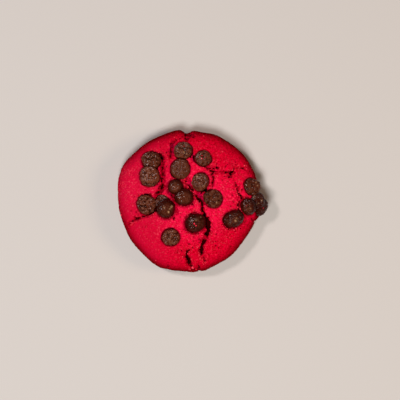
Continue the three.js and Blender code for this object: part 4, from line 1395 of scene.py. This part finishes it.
crust, crust_tree = new_material("baked_red_crumb")
sandy = patterns(crust_tree, CRUST_PATTERNS)
crust_colour = coat(crust_tree, RED_DARK, RED_LIGHT, sandy["mottle"], *MOTTLED)
rim_shade_red = coat(crust_tree, RIM_SHADE_DARK, RIM_SHADE_LIGHT, sandy["mottle"], *MOTTLED)
fresh_red = coat(crust_tree, CRUMB_RED, CRUMB_COOL, "cool")
fresh_crumb = coat(crust_tree, CRUMB_DARK_AND_PORE_SHADE, fresh_red, sandy["mottle"], *MOTTLED)
CRUST_COATS = [  # colour, what it follows, from which value to which, and its share at most
    # painted shade round the rim
    (rim_shade_red, "deep", 0, 1, 1),
    # painted shade on the left half, which is also a sandier, duller red
    (RED_DULL_AND_SHADED, "dull_and_shaded", 0, 1, 0.72),
    (RED_DULL_AND_SHADED, sandy["patches"], 0.5, 0.75, 0.25),
    # pale specks of sugar and flour, painted as glints where the crust faces up and towards the window
    (RED_PALE_GLINT, sandy["specks"], 0.58, 0.74, share_of(crust_tree, "pale", 0, 1, 0.5)),
    (RED_COOL, "cool", 0, 1, 0.45),
    # painted shade on the shoulder
    (RED_SHOULDER_SHADE, "shoulder", 0, 1, 1),
    # painted shade round each drop
    (RED_DROP_SHADE, "stained", 0, 1, 0.85),
    # painted shade in the pores, over the crumb that shows there
    (CRUMB_DARK_AND_PORE_SHADE, "pore", 0, 1, 0.85),
    # the crumb, darker than the crust; in some patches it also stands for painted shade
    (fresh_crumb, "crumb", 0, 1, 1),
    # painted shade deep in the cracks, down to near black
    (CRACK_SHADE, "depth", 0.9, 2.7, 1),
    (BROWNED, "browned", 0, 1, 1),
]
for over, by, low, high, most in CRUST_COATS:
    crust_colour = coat(crust_tree, crust_colour, over, by, low, high, most)
coarse_bump = add_node(
    crust_tree, "ShaderNodeBump", {}, {"Height": sandy["mottle"], "Strength": 0.5, "Distance": 0.35 * MM}
)
grit_bump = add_node(
    crust_tree, "ShaderNodeBump", {},
    {"Height": sandy["grit"], "Strength": 0.6, "Distance": 0.2 * MM, "Normal": coarse_bump.outputs[0]},
)
crust_shader = add_node(
    crust_tree, "ShaderNodeBsdfPrincipled", {},
    {"Base Color": crust_colour, "Roughness": 0.88, "IOR": 1.45, "Specular IOR Level": 0.01,
     "Normal": grit_bump.outputs[0]},
)
add_node(crust_tree, "ShaderNodeOutputMaterial", {}, {"Surface": crust_shader.outputs[0]})

# %% Loose crumbs: the same dough, each grain with its own lightness
# The darkest grains are painted shade for crumbs inside the cracks.
GRAIN_DARK, GRAIN_RED, GRAIN_PALE = linear("#5E0006"), linear("#C4001E"), linear("#F04258")
GRAIN_TURNS = 0.4  # the shade at which a grain is plain red

crumb_material, crumb_tree = new_material("loose_red_crumbs")
grain_colour = coat(crumb_tree, GRAIN_DARK, GRAIN_RED, "shade", 0, GRAIN_TURNS)
grain_colour = coat(crumb_tree, grain_colour, GRAIN_PALE, "shade", GRAIN_TURNS, 1)
crumb_shader = add_node(
    crumb_tree, "ShaderNodeBsdfPrincipled", {},
    {"Base Color": grain_colour, "Roughness": 0.85, "IOR": 1.45, "Specular IOR Level": 0.01},
)
add_node(crumb_tree, "ShaderNodeOutputMaterial", {}, {"Surface": crumb_shader.outputs[0]})

# %% [markdown]
# ## Dark chocolate
#
# Dark baking chocolate, melted and set again without tempering: a matte to satin cocoa brown. A thin veil of
# cocoa butter greys the raised lumps, which also carry a painted highlight. Painted shade gives a near-black
# brown to the creases, hollows and pits, the flanks, the far side of the caps and the line beside an upper
# drop. The tan spots are painted highlights of the warm lamp, with a caramel streak on drop 1. The smoothest
# caps are the most satin, so they catch a soft highlight.

# %% Chocolate material
# The darkest brown is a random speck and the painted shade in creases, hollows and pits; the dark brown is
# each drop's own tone and the painted shade on flanks, far sides and beside upper drops.
COCOA, COCOA_DARK, COCOA_SPECK_AND_SHADE = linear("#622D19"), linear("#320800"), linear("#2A0500")
# The bloom also serves as a painted highlight on raised lumps.
COCOA_BLOOM_AND_SHEEN, COCOA_TAN_GLINT = linear("#80604E"), linear("#A67D5A")
CHOCOLATE_PATTERNS = {
    "clouds": (1.6, 4, 0.5, 0),  # clouds of bloom
    "grain": (0.6, 2, 0.5, 0),  # grain of the set surface
}
MATTE_ROUGHNESS, SATIN_ROUGHNESS = 0.32, 0.17

chocolate, chocolate_tree = new_material("set_dark_chocolate")
melted = patterns(chocolate_tree, CHOCOLATE_PATTERNS)
CHOCOLATE_COATS = [  # as for the crust
    (COCOA_SPECK_AND_SHADE, melted["grain"], 0.56, 0.7, 0.65),
    (COCOA_BLOOM_AND_SHEEN, melted["grain"], 0.44, 0.3, 0.2),
    # bloom, with a painted highlight, on raised lumps
    (COCOA_BLOOM_AND_SHEEN, "lump", 0.1, 1, 0.4),
    (COCOA_BLOOM_AND_SHEEN, melted["clouds"], 0.52, 0.74, 0.25),
    # each drop's own tone, with painted shade on flanks, far sides and beside upper drops
    (COCOA_DARK, "dark", 0, 1, 1),
    # painted shade in hollows
    (COCOA_SPECK_AND_SHADE, "lump", -0.05, -0.8, 0.85),
    # painted shade in creases, pits and beside upper drops
    (COCOA_SPECK_AND_SHADE, "creased", 0.1, 0.9, 0.95),
    # painted highlights of the warm lamp, and a caramel streak on drop 1
    (COCOA_TAN_GLINT, "tan_glint", 0, 1, 1),
]
cocoa_colour = COCOA
for over, by, low, high, most in CHOCOLATE_COATS:
    cocoa_colour = coat(chocolate_tree, cocoa_colour, over, by, low, high, most)
chocolate_rough = add_node(
    chocolate_tree, "ShaderNodeMapRange", {},
    {"Value": share_of(chocolate_tree, "satin"), "To Min": MATTE_ROUGHNESS, "To Max": SATIN_ROUGHNESS},
)
chocolate_bump = add_node(
    chocolate_tree, "ShaderNodeBump", {}, {"Height": melted["grain"], "Strength": 0.4, "Distance": 0.15 * MM}
)
chocolate_shader = add_node(
    chocolate_tree, "ShaderNodeBsdfPrincipled", {},
    {"Base Color": cocoa_colour, "Roughness": chocolate_rough.outputs[0], "IOR": 1.5,
     "Specular IOR Level": 0.42, "Normal": chocolate_bump.outputs[0]},
)
add_node(chocolate_tree, "ShaderNodeOutputMaterial", {}, {"Surface": chocolate_shader.outputs[0]})

# %% Give the pieces their materials
dough.data.materials.append(crust)
for piece in loose:
    piece.data.materials.append(crumb_material)
for drop in drops:
    drop.piece.data.materials.append(chocolate)

# %% [markdown]
# ## The table, the light and the camera
#
# The cookie lies on a plain pale table. A large soft light almost overhead gives most of the light. A small
# window to the left is the only one that the chocolate mirrors, and a weak, warm lamp fills in from the
# right. The camera looks straight down from about a metre, as high as its lens needs to fit the picture.

# %% Table
FLOOR_SIDE = 3.0  # metres
TABLE = linear("#C4C0BB")

floor_mesh = bpy.data.meshes.new("table_top")
half = FLOOR_SIDE / 2
floor_corners = [(-half, -half, 0), (half, -half, 0), (half, half, 0), (-half, half, 0)]
floor_mesh.from_pydata(floor_corners, [], [(0, 1, 2, 3)])
floor = bpy.data.objects.new("table_top", floor_mesh)
bpy.context.scene.collection.objects.link(floor)
table, table_tree = new_material("painted_table")
table_shader = add_node(table_tree, "ShaderNodeBsdfPrincipled", {}, {"Base Color": TABLE, "Roughness": 0.9})
add_node(table_tree, "ShaderNodeOutputMaterial", {}, {"Surface": table_shader.outputs[0]})
floor.data.materials.append(table)

# %% Light
LIGHTS = {  # place in metres, size in metres, power in watts, and colour
    "window_above": ((-0.14, -0.42, 1.2), 0.45, 13.1, "#FFFFFF"),
    "window_left": ((-0.56, 0.31, 1.08), 0.2, 6, "#FFF2F2"),
    "lamp_right": ((0.7, 0, 0.6), 0.3, 2.1, "#FFDCB8"),
}
MIRRORED = "window_left"
LIT_POINT = Vector((0, 0, 0.012))
SKY, SKY_STRENGTH = linear("#E9ECF5"), 0.05

for name, (stands_at, size, power, light_colour) in LIGHTS.items():
    lamp = bpy.data.lights.new(name, "AREA")
    lamp.shape = "DISK"
    lamp.size = size
    lamp.energy = power
    lamp.color = linear(light_colour)[:3]
    light = bpy.data.objects.new(name, lamp)
    light.location = stands_at
    light.rotation_euler = (LIT_POINT - Vector(stands_at)).to_track_quat("-Z", "Y").to_euler()
    light.visible_glossy = name == MIRRORED
    bpy.context.scene.collection.objects.link(light)

world = bpy.data.worlds.new("soft_room")
bpy.context.scene.world = world
world.use_nodes = True
for socket, value in (("Color", SKY), ("Strength", SKY_STRENGTH)):
    world.node_tree.nodes["Background"].inputs[socket].default_value = value

# %% Camera
SENSOR = 36  # mm
LENS = 165  # mm
SHARP_AT = 0.012  # metres, the height at which the picture's scale holds

camera_data = bpy.data.cameras.new("camera")
camera_data.lens = LENS
camera_data.sensor_width = SENSOR
picture_width = PICTURE_SIDE * MM_PER_PIXEL * MM
camera = bpy.data.objects.new("camera", camera_data)
looks_at = (from_picture([PICTURE_SIDE / 2, PICTURE_SIDE / 2]) + shift[:2]) * MM
camera.location = (*looks_at, SHARP_AT + picture_width * LENS / SENSOR)
camera.rotation_euler = (0, 0, 0)  # straight down
bpy.context.scene.collection.objects.link(camera)
bpy.context.scene.camera = camera
bpy.context.scene.view_settings.view_transform = "Standard"
print("camera", [round(c, 4) for c in camera.location])
